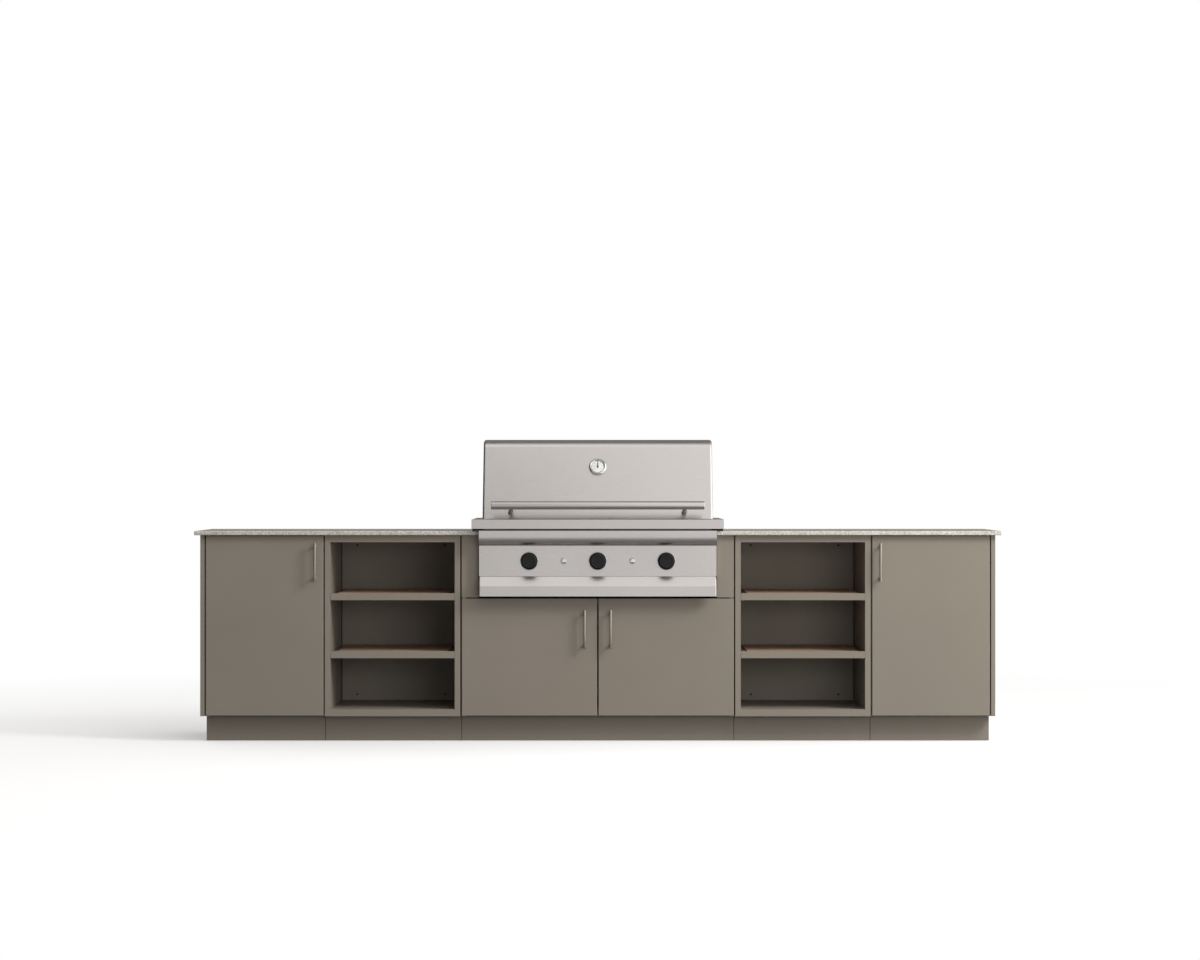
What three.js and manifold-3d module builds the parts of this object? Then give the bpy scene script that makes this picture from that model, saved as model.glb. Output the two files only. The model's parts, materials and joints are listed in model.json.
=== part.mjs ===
// Outdoor kitchen island: five cabinets in a row, a stone counter and a built-in gas grill.
// Millimetres, +X to the right of someone facing the doors, +Y to the back, +Z up.
// The model is built with the doors' front faces at Y = 0 and then moved as a whole, so that
// its origin is on the floor under the middle of its overall box.

import * as THREE from 'three';
import { mergeVertices } from 'three/addons/utils/BufferGeometryUtils.js';
import Module from 'manifold-3d';

const wasm = await Module();
wasm.setup();

// Cabinet row
const doorCabinetWidth = 533;
const openCabinetWidth = 610;
const grillBaseWidth = 1219;
const cabinetDepth = 610;
const counterHeight = 940;
const counterThickness = 19;
const counterOverhang = 25;
const kickHeight = 114;
const kickSetback = 76;
const endPanelThickness = 19;

// Sheet, clearances and cutting overrun
const sheet = 2;
const plate = 3;
const seatGap = 0.3;
const runningGap = 0.8;
const overrun = 5;
const weldTolerance = 0.0005;

// Cabinet boxes
const wallDepth = 28;
const railHeight = 31;
const railFlange = 60;
const moduleReveal = 3;
const backHoleInset = 73;
const backHoleEdge = 57;
const backHoleRadius = 4;
const gasHoleRadius = 26;
const gasHoleHeight = 190;
const gasHoleInset = 200;

// Doors, hinge rods and pull handles
const doorThickness = 19;
const doorChamfer = 2;
const doorBackGap = 3;
const doorFootGap = 3.5;
const hingeReveal = 5;
const hingeRodRadius = 4;
const hingeEarThickness = 2.5;
const hingeEarHalf = 9;
const fillerInset = 3;
const fillerDrop = 6.5;
const doorHeadGap = 5;
const crossRailDrop = 3;
const crossRailHeight = 30;
const pullLength = 173;
const pullRadius = 6;
const pullPostRadius = 5;
const pullPostInset = 16;
const pullStandoff = 32;
const sidePullInset = 36;
const sidePullDrop = 117;
const grillPullInset = 54.75;
const grillPullDrop = 136;

// Shelves
const shelfCount = 2;
const shelfFloorDrop = 6;
const shelfDeckInset = 30;
const shelfDeckThickness = 5.4;
const shelfBackGap = 20;
const shelfLipFlange = 22;
const ledgeWidth = 18;
const ledgeFrontInset = 25;

// Base frames
const frameFlange = 30;
const frameBayMax = 320;
const frameRows = 2;

// Counter cut-out
const cutoutSideGap = 44;
const cutoutBackGap = 30;
const cutoutPanelGap = 2;
const cutoutFrontGap = 10;

// Grill firebox and surround
const fireboxSideInset = 104.5;
const fireboxFront = 25;
const fireboxBackInset = 120;
const fireboxFloorDrop = 235;
const seatSideGap = 2;
const seatBackGap = 16;
const greaseSlotSideInset = 155;
const greaseSlotEndInset = 125;
const surroundSideReach = 55;
const surroundFront = 70;
const surroundBackInset = 32;
const surroundHeight = 52;
const surroundBandHeight = 42;
const surroundRim = 5;
const innerLedge = 12;
const grateDrop = 42;
const heatPlateDrop = 122;

// Control panel, from the top down, and the drip tray below it
const panelSideReach = 23;
const panelProud = 76;
const panelRise = 2;
const bandHeight = 27;
const rollRadius = 40;
const knobFaceHeight = 136;
const trayLedgeHeight = 43;
const trayLedgeReach = 28;
const trayLipHeight = 45;
const trayLipFlange = 26;
const trayLineGap = 1;
const panelFootFlange = 18;
const traySideInset = 35;
const trayBackInset = 26;
const trayHeight = 33;
const trayFlange = 16;
const railHang = 12;

// Knobs, valves and push buttons
const knobCount = 3;
const knobPitch = 305;
const knobDrop = 68;
const knobGripRadius = 31;
const knobSkirtReach = 4.5;
const knobSkirtThickness = 8;
const knobLength = 32;
const knobEdge = 3;
const knobBoreDepth = 18;
const knobFaceGap = 2;
const stemRadius = 4;
const stemHoleGap = 3;
const pushTravel = 4;
const valveHalfWidth = 14;
const valveHalfHeight = 16;
const valveLength = 30;
const valveNoseRadius = 11;
const valveOffset = 12;
const orificeRadius = 5;
const orificeLength = 10;
const manifoldRadius = 9;
const manifoldSideReach = 95;
const inletRadius = 12;
const inletLength = 46;
const buttonRadius = 11;
const buttonLength = 16;
const buttonProud = 6;
const buttonChamfer = 2;
const buttonFlangeReach = 3;
const buttonFlangeThickness = 2;

// Burners, heat plate, grates and warming rack
const burnerRadius = 14;
const burnerWall = 2;
const burnerMouthInset = 3;
const portRadius = 3;
const portCount = 4;
const heatPeaks = 6;
const heatPeakHeight = 28;
const heatSlotWidth = 14;
const grateBar = 9;
const grateBarCount = 14;
const grateGap = 1;
const rackHeight = 93;
const rackBackInset = 20;
const rackDepth = 100;
const rackRodRadius = 4;
const rackWire = 4;
const rackWireCount = 16;
const rackFootInset = 5;

// Hood, its hinge rod, handle and thermometer
const hoodSideReach = 8;
const hoodFrontInset = 38;
const hoodBackReach = 30;
const hoodHeight = 354;
const hoodSlopeRun = 163;
const hoodKneeRun = 125;
const hoodKneeDrop = 158;
const hoodFrontBend = 60;
const hoodKneeBend = 60;
const hoodLift = 2;
const hoodPivotRadius = 20;
const hoodRodRadius = 4;
const earThickness = 4;
const earGap = 1.5;
const earHalf = 13;
const handleEndInset = 40.5;
const handleRadius = 17.5;
const handlePostRadius = 10;
const handlePostInset = 86.5;
const handleStandoff = 80;
const handleRise = 30;
const gaugeRise = 254;
const gaugeRadius = 39;
const gaugeThickness = 11;
const gaugeBezelWidth = 7;
const gaugeFaceDepth = 5;
const gaugeBevel = 4;
const gaugeStemRadius = 5;
const gaugeStemLength = 45;
const needleTipGap = 6;
const needleTail = 8;
const needleWidth = 4;
const needleThickness = 1.2;
const needleHubRadius = 4;
const needlePinRadius = 1.5;
const needlePinDepth = 2.5;

// Roundness of turned and bent forms, in steps
const roundSides = 20;
const smallSides = 12;
const wireSides = 8;
const hexSides = 6;
const bendSteps = 5;
const rollSteps = 6;
const chamferSteps = 1;

// Heights and places that follow from the sizes above
const boxTop = counterHeight - counterThickness - seatGap;
const boxHeight = boxTop - kickHeight;
const doorSetoff = doorThickness + doorBackGap;
const panelTop = counterHeight + panelRise;
const knobFaceTop = panelTop - bandHeight - rollRadius;
const knobFaceBottom = knobFaceTop - knobFaceHeight;
const knobFaceY = rollRadius - panelProud;
const knobZ = knobFaceTop - knobDrop;
const trayLipY = knobFaceY - trayLedgeReach;
const trayTop = knobFaceBottom - trayLineGap;
const trayLipTop = trayTop - trayLedgeHeight;
const trayBottom = trayLipTop - trayLipHeight;
const fillerBottom = trayBottom - fillerDrop;
const grillDoorTop = fillerBottom - doorHeadGap;
const surroundTop = counterHeight + surroundHeight;
const surroundPlateZ = surroundTop - sheet;
const fireboxTop = surroundPlateZ - seatGap;
const fireboxFloor = counterHeight - fireboxFloorDrop;
const fireboxBack = cabinetDepth - fireboxBackInset;
const fireboxSide = grillBaseWidth / 2 - fireboxSideInset;
const cutoutSide = fireboxSide + cutoutSideGap;
const cutoutBack = fireboxBack + cutoutBackGap;
const cutoutFront = fireboxFront - cutoutFrontGap;
const surroundSide = fireboxSide + surroundSideReach;
const surroundBack = cabinetDepth - surroundBackInset;
const panelSide = fireboxSide + panelSideReach;
const traySide = fireboxSide - traySideInset;
const trayBack = fireboxBack - trayBackInset;
const knobRadius = knobGripRadius + knobSkirtReach;
const knobFloatGap = knobFaceGap + pushTravel;
const hoodBottom = surroundTop + hoodLift;
const hoodTop = hoodBottom + hoodHeight;
const hoodSide = fireboxSide + hoodSideReach;
const hoodFront = hoodFrontInset - surroundFront;
const hoodBack = fireboxBack + hoodBackReach;
const hoodAxisY = hoodBack - hoodPivotRadius;
const hoodAxisZ = hoodBottom + hoodPivotRadius;
const hoodSlope = Math.atan(hoodSlopeRun / hoodHeight);
const handleHalf = hoodSide - handleEndInset;
const gaugeFaceRadius = gaugeRadius - gaugeBezelWidth;
const needleLength = gaugeFaceRadius - needleTipGap;
const doorFoot = kickHeight + doorFootGap;
const rowWidth = 2 * (endPanelThickness + doorCabinetWidth + openCabinetWidth) + grillBaseWidth;

// Solids

function solid(geometry) {
  const bare = geometry.clone();
  bare.deleteAttribute('normal');
  bare.deleteAttribute('uv');
  const merged = mergeVertices(bare, weldTolerance);
  return new wasm.Manifold(new wasm.Mesh({
    numProp: 3,
    vertProperties: new Float32Array(merged.attributes.position.array),
    triVerts: new Uint32Array(merged.index.array),
  }));
}

function block(x0, x1, y0, y1, z0, z1) {
  const geometry = new THREE.BoxGeometry(x1 - x0, y1 - y0, z1 - z0);
  geometry.translate((x0 + x1) / 2, (y0 + y1) / 2, (z0 + z1) / 2);
  return solid(geometry);
}

// A round bar between two points
function bar(radius, from, to, sides = smallSides) {
  const start = new THREE.Vector3(...from);
  const end = new THREE.Vector3(...to);
  const along = end.clone().sub(start);
  const geometry = new THREE.CylinderGeometry(radius, radius, along.length(), sides);
  const turn = new THREE.Quaternion().setFromUnitVectors(
    new THREE.Vector3(0, 1, 0),
    along.clone().normalize(),
  );
  geometry.applyQuaternion(turn);
  const middle = start.add(end).multiplyScalar(1 / 2);
  geometry.translate(middle.x, middle.y, middle.z);
  return solid(geometry);
}

// A form turned about the Y axis, from [radius, y] points in rising y
function turned(profile, sides = roundSides) {
  const points = profile.map(([radius, y]) => new THREE.Vector2(radius, y));
  return solid(new THREE.LatheGeometry(points, sides));
}

function extruded(points, depth) {
  const shape = new THREE.Shape(points.map(([u, v]) => new THREE.Vector2(u, v)));
  return new THREE.ExtrudeGeometry(shape, { depth, bevelEnabled: false });
}

// An outline in (x, y), drawn up along Z
function prismZ(points, z0, z1) {
  const geometry = extruded(points, z1 - z0);
  geometry.translate(0, 0, z0);
  return solid(geometry);
}

// An outline in (y, z), drawn across along X
function prismX(points, x0, x1) {
  const geometry = extruded(points, x1 - x0);
  geometry.applyMatrix4(new THREE.Matrix4().makeBasis(
    new THREE.Vector3(0, 1, 0),
    new THREE.Vector3(0, 0, 1),
    new THREE.Vector3(1, 0, 0),
  ));
  geometry.translate(x0, 0, 0);
  return solid(geometry);
}

// An outline in (x, z), drawn back along Y
function prismY(points, y0, y1) {
  const geometry = extruded(points.map(([x, z]) => [z, x]), y1 - y0);
  geometry.applyMatrix4(new THREE.Matrix4().makeBasis(
    new THREE.Vector3(0, 0, 1),
    new THREE.Vector3(1, 0, 0),
    new THREE.Vector3(0, 1, 0),
  ));
  geometry.translate(0, y0, 0);
  return solid(geometry);
}

function join(...shapes) {
  return shapes.flat().reduce((whole, shape) => whole.add(shape));
}

function cut(shape, ...tools) {
  return tools.flat().reduce((rest, tool) => rest.subtract(tool), shape);
}

// An outline with its corners rounded: corners are [u, v, radius]
function rounded(corners, steps = bendSteps) {
  const outline = [];
  corners.forEach(([u, v, radius], i) => {
    if (!radius) {
      outline.push([u, v]);
      return;
    }
    const corner = new THREE.Vector2(u, v);
    const before = new THREE.Vector2(...corners.at(i - 1)).sub(corner).normalize();
    const after = new THREE.Vector2(...corners[(i + 1) % corners.length]).sub(corner).normalize();
    const half = Math.acos(before.dot(after)) / 2;
    const centre = before.clone().add(after).normalize().multiplyScalar(radius / Math.sin(half));
    centre.add(corner);
    const start = before.multiplyScalar(radius / Math.tan(half)).add(corner).sub(centre);
    const end = after.multiplyScalar(radius / Math.tan(half)).add(corner).sub(centre);
    const sweep = Math.atan2(start.cross(end), start.dot(end));
    for (let step = 0; step <= steps; step += 1) {
      const point = start.clone().rotateAround(new THREE.Vector2(), sweep * step / steps);
      outline.push([centre.x + point.x, centre.y + point.y]);
    }
  });
  return outline;
}

// Corners moved inward by a distance, for corners listed clockwise in (u, v)
function inset(corners, distance) {
  return corners.map(([u, v, radius], i) => {
    const corner = new THREE.Vector2(u, v);
    const before = corner.clone().sub(new THREE.Vector2(...corners.at(i - 1))).normalize();
    const after = new THREE.Vector2(...corners[(i + 1) % corners.length]).sub(corner).normalize();
    const half = Math.acos(before.dot(after)) / 2;
    const inward = new THREE.Vector2(before.y + after.y, -before.x - after.x).normalize();
    corner.addScaledVector(inward, distance / Math.cos(half));
    return [corner.x, corner.y, Math.max(radius - distance, 0)];
  });
}

// Places spread evenly between two ends, both ends included
function spread(from, to, count) {
  return Array.from({ length: count }, (_, i) => from + (to - from) * i / (count - 1));
}

// Places at the middles of equal parts between two ends
function middles(from, to, count) {
  return Array.from({ length: count }, (_, i) => from + (to - from) * (i + 1 / 2) / count);
}

// Named pieces and their finishes

const finishes = {
  powderCoat: { color: 0x8a8276, roughness: 0.55, metalness: 0.2 },
  stone: { color: 0xbdb6ac, roughness: 0.35, metalness: 0 },
  deckBoard: { color: 0x7a5c49, roughness: 0.6, metalness: 0 },
  brushedSteel: { color: 0xc6c2be, roughness: 0.32, metalness: 0.9 },
  polishedSteel: { color: 0xd8d8d8, roughness: 0.12, metalness: 1 },
  plainSteel: { color: 0x9a9c9c, roughness: 0.45, metalness: 0.8 },
  castIron: { color: 0x2c2b2a, roughness: 0.7, metalness: 0.5 },
  brass: { color: 0xb08a45, roughness: 0.35, metalness: 0.9 },
  blackPlastic: { color: 0x17181a, roughness: 0.45, metalness: 0 },
};

function piece(parent, name, shape, finish) {
  const data = shape.asOriginal().simplify().getMesh();
  const geometry = new THREE.BufferGeometry();
  geometry.setAttribute('position', new THREE.BufferAttribute(data.vertProperties, 3));
  geometry.setIndex(new THREE.BufferAttribute(data.triVerts, 1));
  geometry.computeVertexNormals();
  const mesh = new THREE.Mesh(geometry, new THREE.MeshStandardMaterial(finish));
  mesh.name = name;
  parent.add(mesh);
  return mesh;
}

function groupAt(parent, x, y, z) {
  const group = new THREE.Group();
  group.position.set(x, y, z);
  parent.add(group);
  return group;
}

// Cabinet boxes, each in its own frame: X from the cabinet's middle, Y and Z as in the island

// Two folded side walls, the back sheet, the deck and the flanges that tie them together
function cabinetShell(width, frontY) {
  const half = (width - seatGap) / 2;
  const inner = (width / 2) - wallDepth;
  const backY = cabinetDepth - sheet;
  const foot = kickHeight;
  const deckTop = foot + railHeight;
  const parts = [
    block(-half, half, backY, cabinetDepth, foot, boxTop),
    block(-inner - sheet, inner + sheet, frontY, cabinetDepth, deckTop - sheet, deckTop),
    block(-half, half, frontY, frontY + railFlange, foot, foot + sheet),
    block(-half, half, cabinetDepth - railFlange, cabinetDepth, foot, foot + sheet),
    block(-half, half, cabinetDepth - railFlange, cabinetDepth, boxTop - sheet, boxTop),
  ];
  for (const side of [-1, 1]) {
    const wall = side * (inner + sheet / 2);
    const edge = side * half;
    const [wallFrom, wallTo] = [wall - sheet / 2, wall + sheet / 2];
    const [flangeFrom, flangeTo] = side < 0 ? [edge, wallTo] : [wallFrom, edge];
    parts.push(block(wallFrom, wallTo, frontY, cabinetDepth, foot, boxTop));
    parts.push(block(flangeFrom, flangeTo, frontY, cabinetDepth, boxTop - sheet, boxTop));
    parts.push(block(flangeFrom, flangeTo, frontY, cabinetDepth, foot, foot + sheet));
  }
  return join(parts);
}

// A rail across the front: its face with a flange turned back along one long edge
function frontRail(half, frontY, z0, z1, flangeZ) {
  return join(
    block(-half, half, frontY, frontY + sheet, z0, z1),
    block(-half, half, frontY, frontY + railFlange, flangeZ, flangeZ + sheet),
  );
}

// Ears that hold a hinge rod in front of the box
function hingeEar(axisX, z0, z1) {
  return block(axisX - hingeEarHalf, axisX + hingeEarHalf, sheet, doorSetoff + sheet, z0, z1);
}

function rodHole(axisX, z0, z1) {
  const y = doorThickness / 2;
  return bar(hingeRodRadius + seatGap, [axisX, y, z0 - overrun], [axisX, y, z1 + overrun]);
}

function backHoles(width) {
  const rows = [kickHeight + backHoleEdge, boxTop - backHoleEdge];
  const reach = width / 2 - wallDepth - backHoleInset;
  return rows.flatMap((z) => [-reach, reach].map((x) => bar(
    backHoleRadius,
    [x, cabinetDepth - overrun, z],
    [x, cabinetDepth + overrun, z],
    smallSides,
  )));
}

// Shelf heights share the open height equally
const shelfTops = Array.from({ length: shelfCount }, (_, i) => {
  const clear = boxHeight - 2 * railHeight - shelfCount * railHeight;
  const bay = clear / (shelfCount + 1);
  return kickHeight + railHeight + (i + 1) * (bay + railHeight);
});

function openCabinet() {
  const width = openCabinetWidth;
  const half = (width - seatGap) / 2;
  const inner = width / 2 - wallDepth;
  const faceEdge = width / 2 - moduleReveal;
  const parts = [
    cabinetShell(width, 0),
    frontRail(faceEdge, 0, kickHeight, kickHeight + railHeight, kickHeight),
    frontRail(faceEdge, 0, boxTop - railHeight, boxTop, boxTop - sheet),
  ];
  for (const side of [-1, 1]) {
    const xs = [side * inner, side * faceEdge].sort((a, b) => a - b);
    const lip = [side * (faceEdge - sheet), side * faceEdge].sort((a, b) => a - b);
    parts.push(block(...xs, 0, sheet, kickHeight, boxTop));
    parts.push(block(...lip, 0, wallDepth, kickHeight, boxTop));
    const ledge = [side * (inner + sheet), side * (inner - ledgeWidth)].sort((a, b) => a - b);
    for (const top of shelfTops) {
      const z = top - railHeight - seatGap;
      parts.push(block(...ledge, ledgeFrontInset, cabinetDepth - shelfBackGap, z - sheet, z));
    }
  }
  const shell = join(parts);
  const side = block(half - moduleReveal, half + overrun, -overrun, wallDepth, 0, counterHeight);
  const other = block(-half - overrun, moduleReveal - half, -overrun, wallDepth, 0, counterHeight);
  return cut(shell, backHoles(width), side, other);
}

// The hinge side is -1 for a rod near the cabinet's left edge and +1 near its right
function sideHingeX(width, hingeSide) {
  return hingeSide * (width / 2 - hingeReveal - doorThickness / 2);
}

function doorCabinet(hingeSide) {
  const width = doorCabinetWidth;
  const half = (width - seatGap) / 2;
  const inner = width / 2 - wallDepth;
  const axisX = sideHingeX(width, hingeSide);
  const parts = [
    cabinetShell(width, doorSetoff),
    frontRail(half, doorSetoff, kickHeight, kickHeight + railHeight, kickHeight),
    frontRail(half, doorSetoff, boxTop - railHeight, boxTop, boxTop - sheet),
    hingeEar(axisX, kickHeight, kickHeight + hingeEarThickness),
    hingeEar(axisX, boxTop - hingeEarThickness, boxTop),
  ];
  for (const side of [-1, 1]) {
    const xs = [side * inner, side * half].sort((a, b) => a - b);
    parts.push(block(...xs, doorSetoff, doorSetoff + sheet, kickHeight, boxTop));
  }
  return cut(join(parts), rodHole(axisX, kickHeight, boxTop));
}

function grillHingeX(side) {
  return side * (grillBaseWidth / 2 - moduleReveal - doorThickness / 2);
}

function grillBaseCabinet() {
  const width = grillBaseWidth;
  const half = (width - seatGap) / 2;
  const inner = width / 2 - wallDepth;
  const outerFace = width / 2 - moduleReveal;
  const innerFace = panelSide + fillerInset;
  const fillerBack = doorSetoff + sheet;
  const headRailTop = grillDoorTop - crossRailDrop;
  const headRailBottom = headRailTop - crossRailHeight;
  const parts = [
    cabinetShell(width, doorSetoff),
    frontRail(half, doorSetoff, kickHeight, kickHeight + railHeight, kickHeight),
    block(-half, half, doorSetoff, doorSetoff + sheet, headRailBottom, headRailTop),
    block(-half, half, doorSetoff, doorSetoff + railFlange, headRailBottom, headRailBottom + sheet),
  ];
  for (const side of [-1, 1]) {
    const span = (a, b) => [side * a, side * b].sort((p, q) => p - q);
    const axisX = grillHingeX(side);
    parts.push(block(...span(inner, half), doorSetoff, doorSetoff + sheet, kickHeight, boxTop));
    parts.push(hingeEar(axisX, kickHeight, kickHeight + hingeEarThickness));
    const face = span(innerFace, outerFace);
    parts.push(block(...face, 0, sheet, fillerBottom, boxTop));
    parts.push(block(...face, 0, fillerBack, fillerBottom, fillerBottom + sheet));
    parts.push(block(...face, 0, fillerBack, boxTop - sheet, boxTop));
    parts.push(block(...span(outerFace - sheet, outerFace), 0, fillerBack, fillerBottom, boxTop));
    parts.push(block(...span(innerFace, innerFace + sheet), 0, fillerBack, fillerBottom, boxTop));
    parts.push(block(...span(innerFace, half), doorSetoff, fillerBack, fillerBottom, boxTop));
  }
  const holes = [-1, 1].map((side) => rodHole(grillHingeX(side), kickHeight, fillerBottom));
  const gasHoleX = width / 2 - gasHoleInset;
  const gasHole = bar(
    gasHoleRadius,
    [gasHoleX, cabinetDepth - overrun, kickHeight + gasHoleHeight],
    [gasHoleX, cabinetDepth + overrun, kickHeight + gasHoleHeight],
    roundSides,
  );
  return cut(join(parts), holes, gasHole);
}

// A welded frame under one cabinet: a board on each side, with cross members between
function baseFrame(width) {
  const half = (width - seatGap) / 2;
  const top = kickHeight - seatGap;
  const bays = Math.ceil(width / frameBayMax);
  const crossX = spread(-half + sheet / 2, half - sheet / 2, bays + 1);
  const rowY = spread(kickSetback + sheet / 2, cabinetDepth - sheet / 2, frameRows + 1);
  const flanges = [0, top - sheet].flatMap((z) => [
    block(-half, half, kickSetback, kickSetback + frameFlange, z, z + sheet),
    block(-half, half, cabinetDepth - frameFlange, cabinetDepth, z, z + sheet),
  ]);
  return join(
    crossX.map((x) => block(x - sheet / 2, x + sheet / 2, kickSetback, cabinetDepth, 0, top)),
    rowY.map((y) => block(-half, half, y - sheet / 2, y + sheet / 2, 0, top)),
    flanges,
  );
}

// End panels: two skins and their edges, with drain slots in the bottom edge
function endPanel() {
  const half = endPanelThickness / 2;
  const outer = block(-half, half, 0, cabinetDepth, kickHeight, boxTop);
  const hollow = block(
    sheet - half,
    half - sheet,
    sheet,
    cabinetDepth - sheet,
    kickHeight + sheet,
    boxTop - sheet,
  );
  const drains = middles(0, cabinetDepth, 2).map((y) => block(
    sheet - half,
    half - sheet,
    y - wallDepth,
    y + wallDepth,
    kickHeight - overrun,
    kickHeight + overrun,
  ));
  return cut(outer, hollow, drains);
}

// A door between two edges, with its hinge rod at axisX
function door(x0, x1, axisX, top) {
  const outline = rounded([
    [x0, 0, doorChamfer],
    [x1, 0, doorChamfer],
    [x1, doorThickness, doorChamfer],
    [x0, doorThickness, doorChamfer],
  ], chamferSteps);
  const skin = prismZ(outline, doorFoot, top);
  const hollow = block(
    x0 + sheet,
    x1 - sheet,
    sheet,
    doorThickness - sheet,
    doorFoot + sheet,
    top - sheet,
  );
  return cut(skin, hollow, rodHole(axisX, doorFoot, top));
}

function hingeRod(axisX, top) {
  const y = doorThickness / 2;
  return bar(hingeRodRadius, [axisX, y, kickHeight], [axisX, y, top]);
}

// A pull handle about its own middle on the door's face
function pullHandle() {
  const half = pullLength / 2;
  const postZ = half - pullPostInset;
  return join(
    bar(pullRadius, [0, -pullStandoff, -half], [0, -pullStandoff, half]),
    [-postZ, postZ].map((z) => bar(pullPostRadius, [0, -pullStandoff, z], [0, -seatGap, z])),
  );
}

// A shelf pan with a deep front lip, its top at z = 0
function shelfPan() {
  const side = openCabinetWidth / 2 - wallDepth - runningGap;
  const back = cabinetDepth - shelfBackGap;
  const foot = -railHeight;
  const floor = -shelfFloorDrop;
  return join(
    block(-side, side, 0, sheet, foot, 0),
    block(-side, side, 0, shelfLipFlange, foot, foot + sheet),
    block(-side, side, 0, back, floor - sheet, floor),
    block(-side, side, back - sheet, back, foot, floor),
    block(-side, sheet - side, 0, back, foot, floor),
    block(side - sheet, side, 0, back, foot, floor),
  );
}

function shelfDeck() {
  const side = openCabinetWidth / 2 - wallDepth - shelfDeckInset;
  const floor = seatGap - shelfFloorDrop;
  return block(
    -side,
    side,
    sheet + seatGap,
    cabinetDepth - shelfBackGap - sheet,
    floor,
    floor + shelfDeckThickness,
  );
}

// Half of the stone counter: a slab with an arm behind the grill, on the given side
function counterHalf(side) {
  const end = rowWidth / 2 + counterOverhang;
  const panelNotch = panelSide + cutoutPanelGap;
  const outline = [
    [side * end, -counterOverhang],
    [side * panelNotch, -counterOverhang],
    [side * panelNotch, cutoutFront],
    [side * cutoutSide, cutoutFront],
    [side * cutoutSide, cutoutBack],
    [side * seatGap, cutoutBack],
    [side * seatGap, cabinetDepth],
    [side * end, cabinetDepth],
  ];
  return prismZ(outline, counterHeight - counterThickness, counterHeight);
}

// Grill body

function firebox() {
  const side = fireboxSide;
  const seatSide = surroundSide - sheet - seatSideGap;
  const seatBack = surroundBack - sheet - seatBackGap;
  const seatZ = counterHeight + seatGap;
  const outer = block(-side, side, fireboxFront, fireboxBack, fireboxFloor, fireboxTop);
  const inside = block(
    plate - side,
    side - plate,
    fireboxFront + plate,
    fireboxBack - plate,
    fireboxFloor + plate,
    fireboxTop + overrun,
  );
  const greaseSlot = block(
    greaseSlotSideInset - side,
    side - greaseSlotSideInset,
    fireboxFront + greaseSlotEndInset,
    fireboxBack - greaseSlotEndInset,
    fireboxFloor - overrun,
    fireboxFloor + overrun,
  );
  const seat = cut(
    block(-seatSide, seatSide, fireboxFront, seatBack, seatZ, seatZ + plate),
    block(-side, side, fireboxFront - overrun, fireboxBack, seatZ - overrun, seatZ + overrun),
  );
  const ledges = [grateDrop, heatPlateDrop].flatMap((drop) => {
    const z = surroundTop - drop;
    const front = fireboxFront + plate;
    const back = fireboxBack - plate;
    return [
      block(-side, side, fireboxFront, front + innerLedge, z - plate, z),
      block(-side, side, back - innerLedge, fireboxBack, z - plate, z),
    ];
  });
  const hangers = [-1, 1].flatMap((s) => {
    const span = (a, b) => [s * a, s * b].sort((p, q) => p - q);
    const wall = traySide + trayFlange + runningGap;
    const ledge = span(traySide + runningGap, wall + plate);
    const z = fireboxFloor - railHang;
    return [
      block(...span(wall, wall + plate), fireboxFront, fireboxBack, z, fireboxFloor + plate),
      block(...ledge, fireboxFront, fireboxBack, z, z + sheet),
    ];
  });
  const burnerHoles = knobPlaces().map((x) => bar(
    burnerRadius + seatGap,
    [x, fireboxFront - overrun, knobZ],
    [x, fireboxFront + plate + overrun, knobZ],
    roundSides,
  ));
  return cut(join(cut(outer, inside, greaseSlot), seat, ledges, hangers), burnerHoles);
}

function knobPlaces() {
  const reach = knobPitch * (knobCount - 1) / 2;
  return spread(-reach, reach, knobCount);
}

function buttonPlaces() {
  const places = knobPlaces();
  return places.slice(1).map((x, i) => (x + places[i]) / 2);
}

// The steel trim around the hood: a top plate with walls turned down, and two hinge ears
function surround() {
  const side = surroundSide;
  const foot = counterHeight + seatGap;
  const openSide = fireboxSide - surroundRim;
  const openFront = fireboxFront + surroundRim;
  const openBack = fireboxBack - surroundRim;
  const shell = cut(
    block(-side, side, -surroundFront, surroundBack, foot, surroundTop),
    block(
      sheet - side,
      side - sheet,
      sheet - surroundFront,
      surroundBack - sheet,
      foot - overrun,
      surroundPlateZ,
    ),
    block(-openSide, openSide, openFront, openBack, foot, surroundTop + overrun),
    block(
      -side - overrun,
      side + overrun,
      -surroundFront - overrun,
      -counterOverhang - seatGap,
      foot - overrun,
      surroundTop - surroundBandHeight,
    ),
  );
  const ears = [-1, 1].map((s) => {
    const xs = [s * (hoodSide + earGap), s * hoodRodEnd()];
    xs.sort((a, b) => a - b);
    return join(
      block(...xs, hoodAxisY - earHalf, hoodAxisY + earHalf, surroundPlateZ, hoodAxisZ),
      bar(earHalf, [xs[0], hoodAxisY, hoodAxisZ], [xs[1], hoodAxisY, hoodAxisZ], roundSides),
    );
  });
  return cut(join(shell, ears), hoodRodHole());
}

function hoodRodEnd() {
  return hoodSide + earGap + earThickness;
}

function hoodRodHole() {
  const reach = hoodRodEnd() + overrun;
  return bar(hoodRodRadius + seatGap, [-reach, hoodAxisY, hoodAxisZ], [reach, hoodAxisY, hoodAxisZ]);
}

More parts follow.
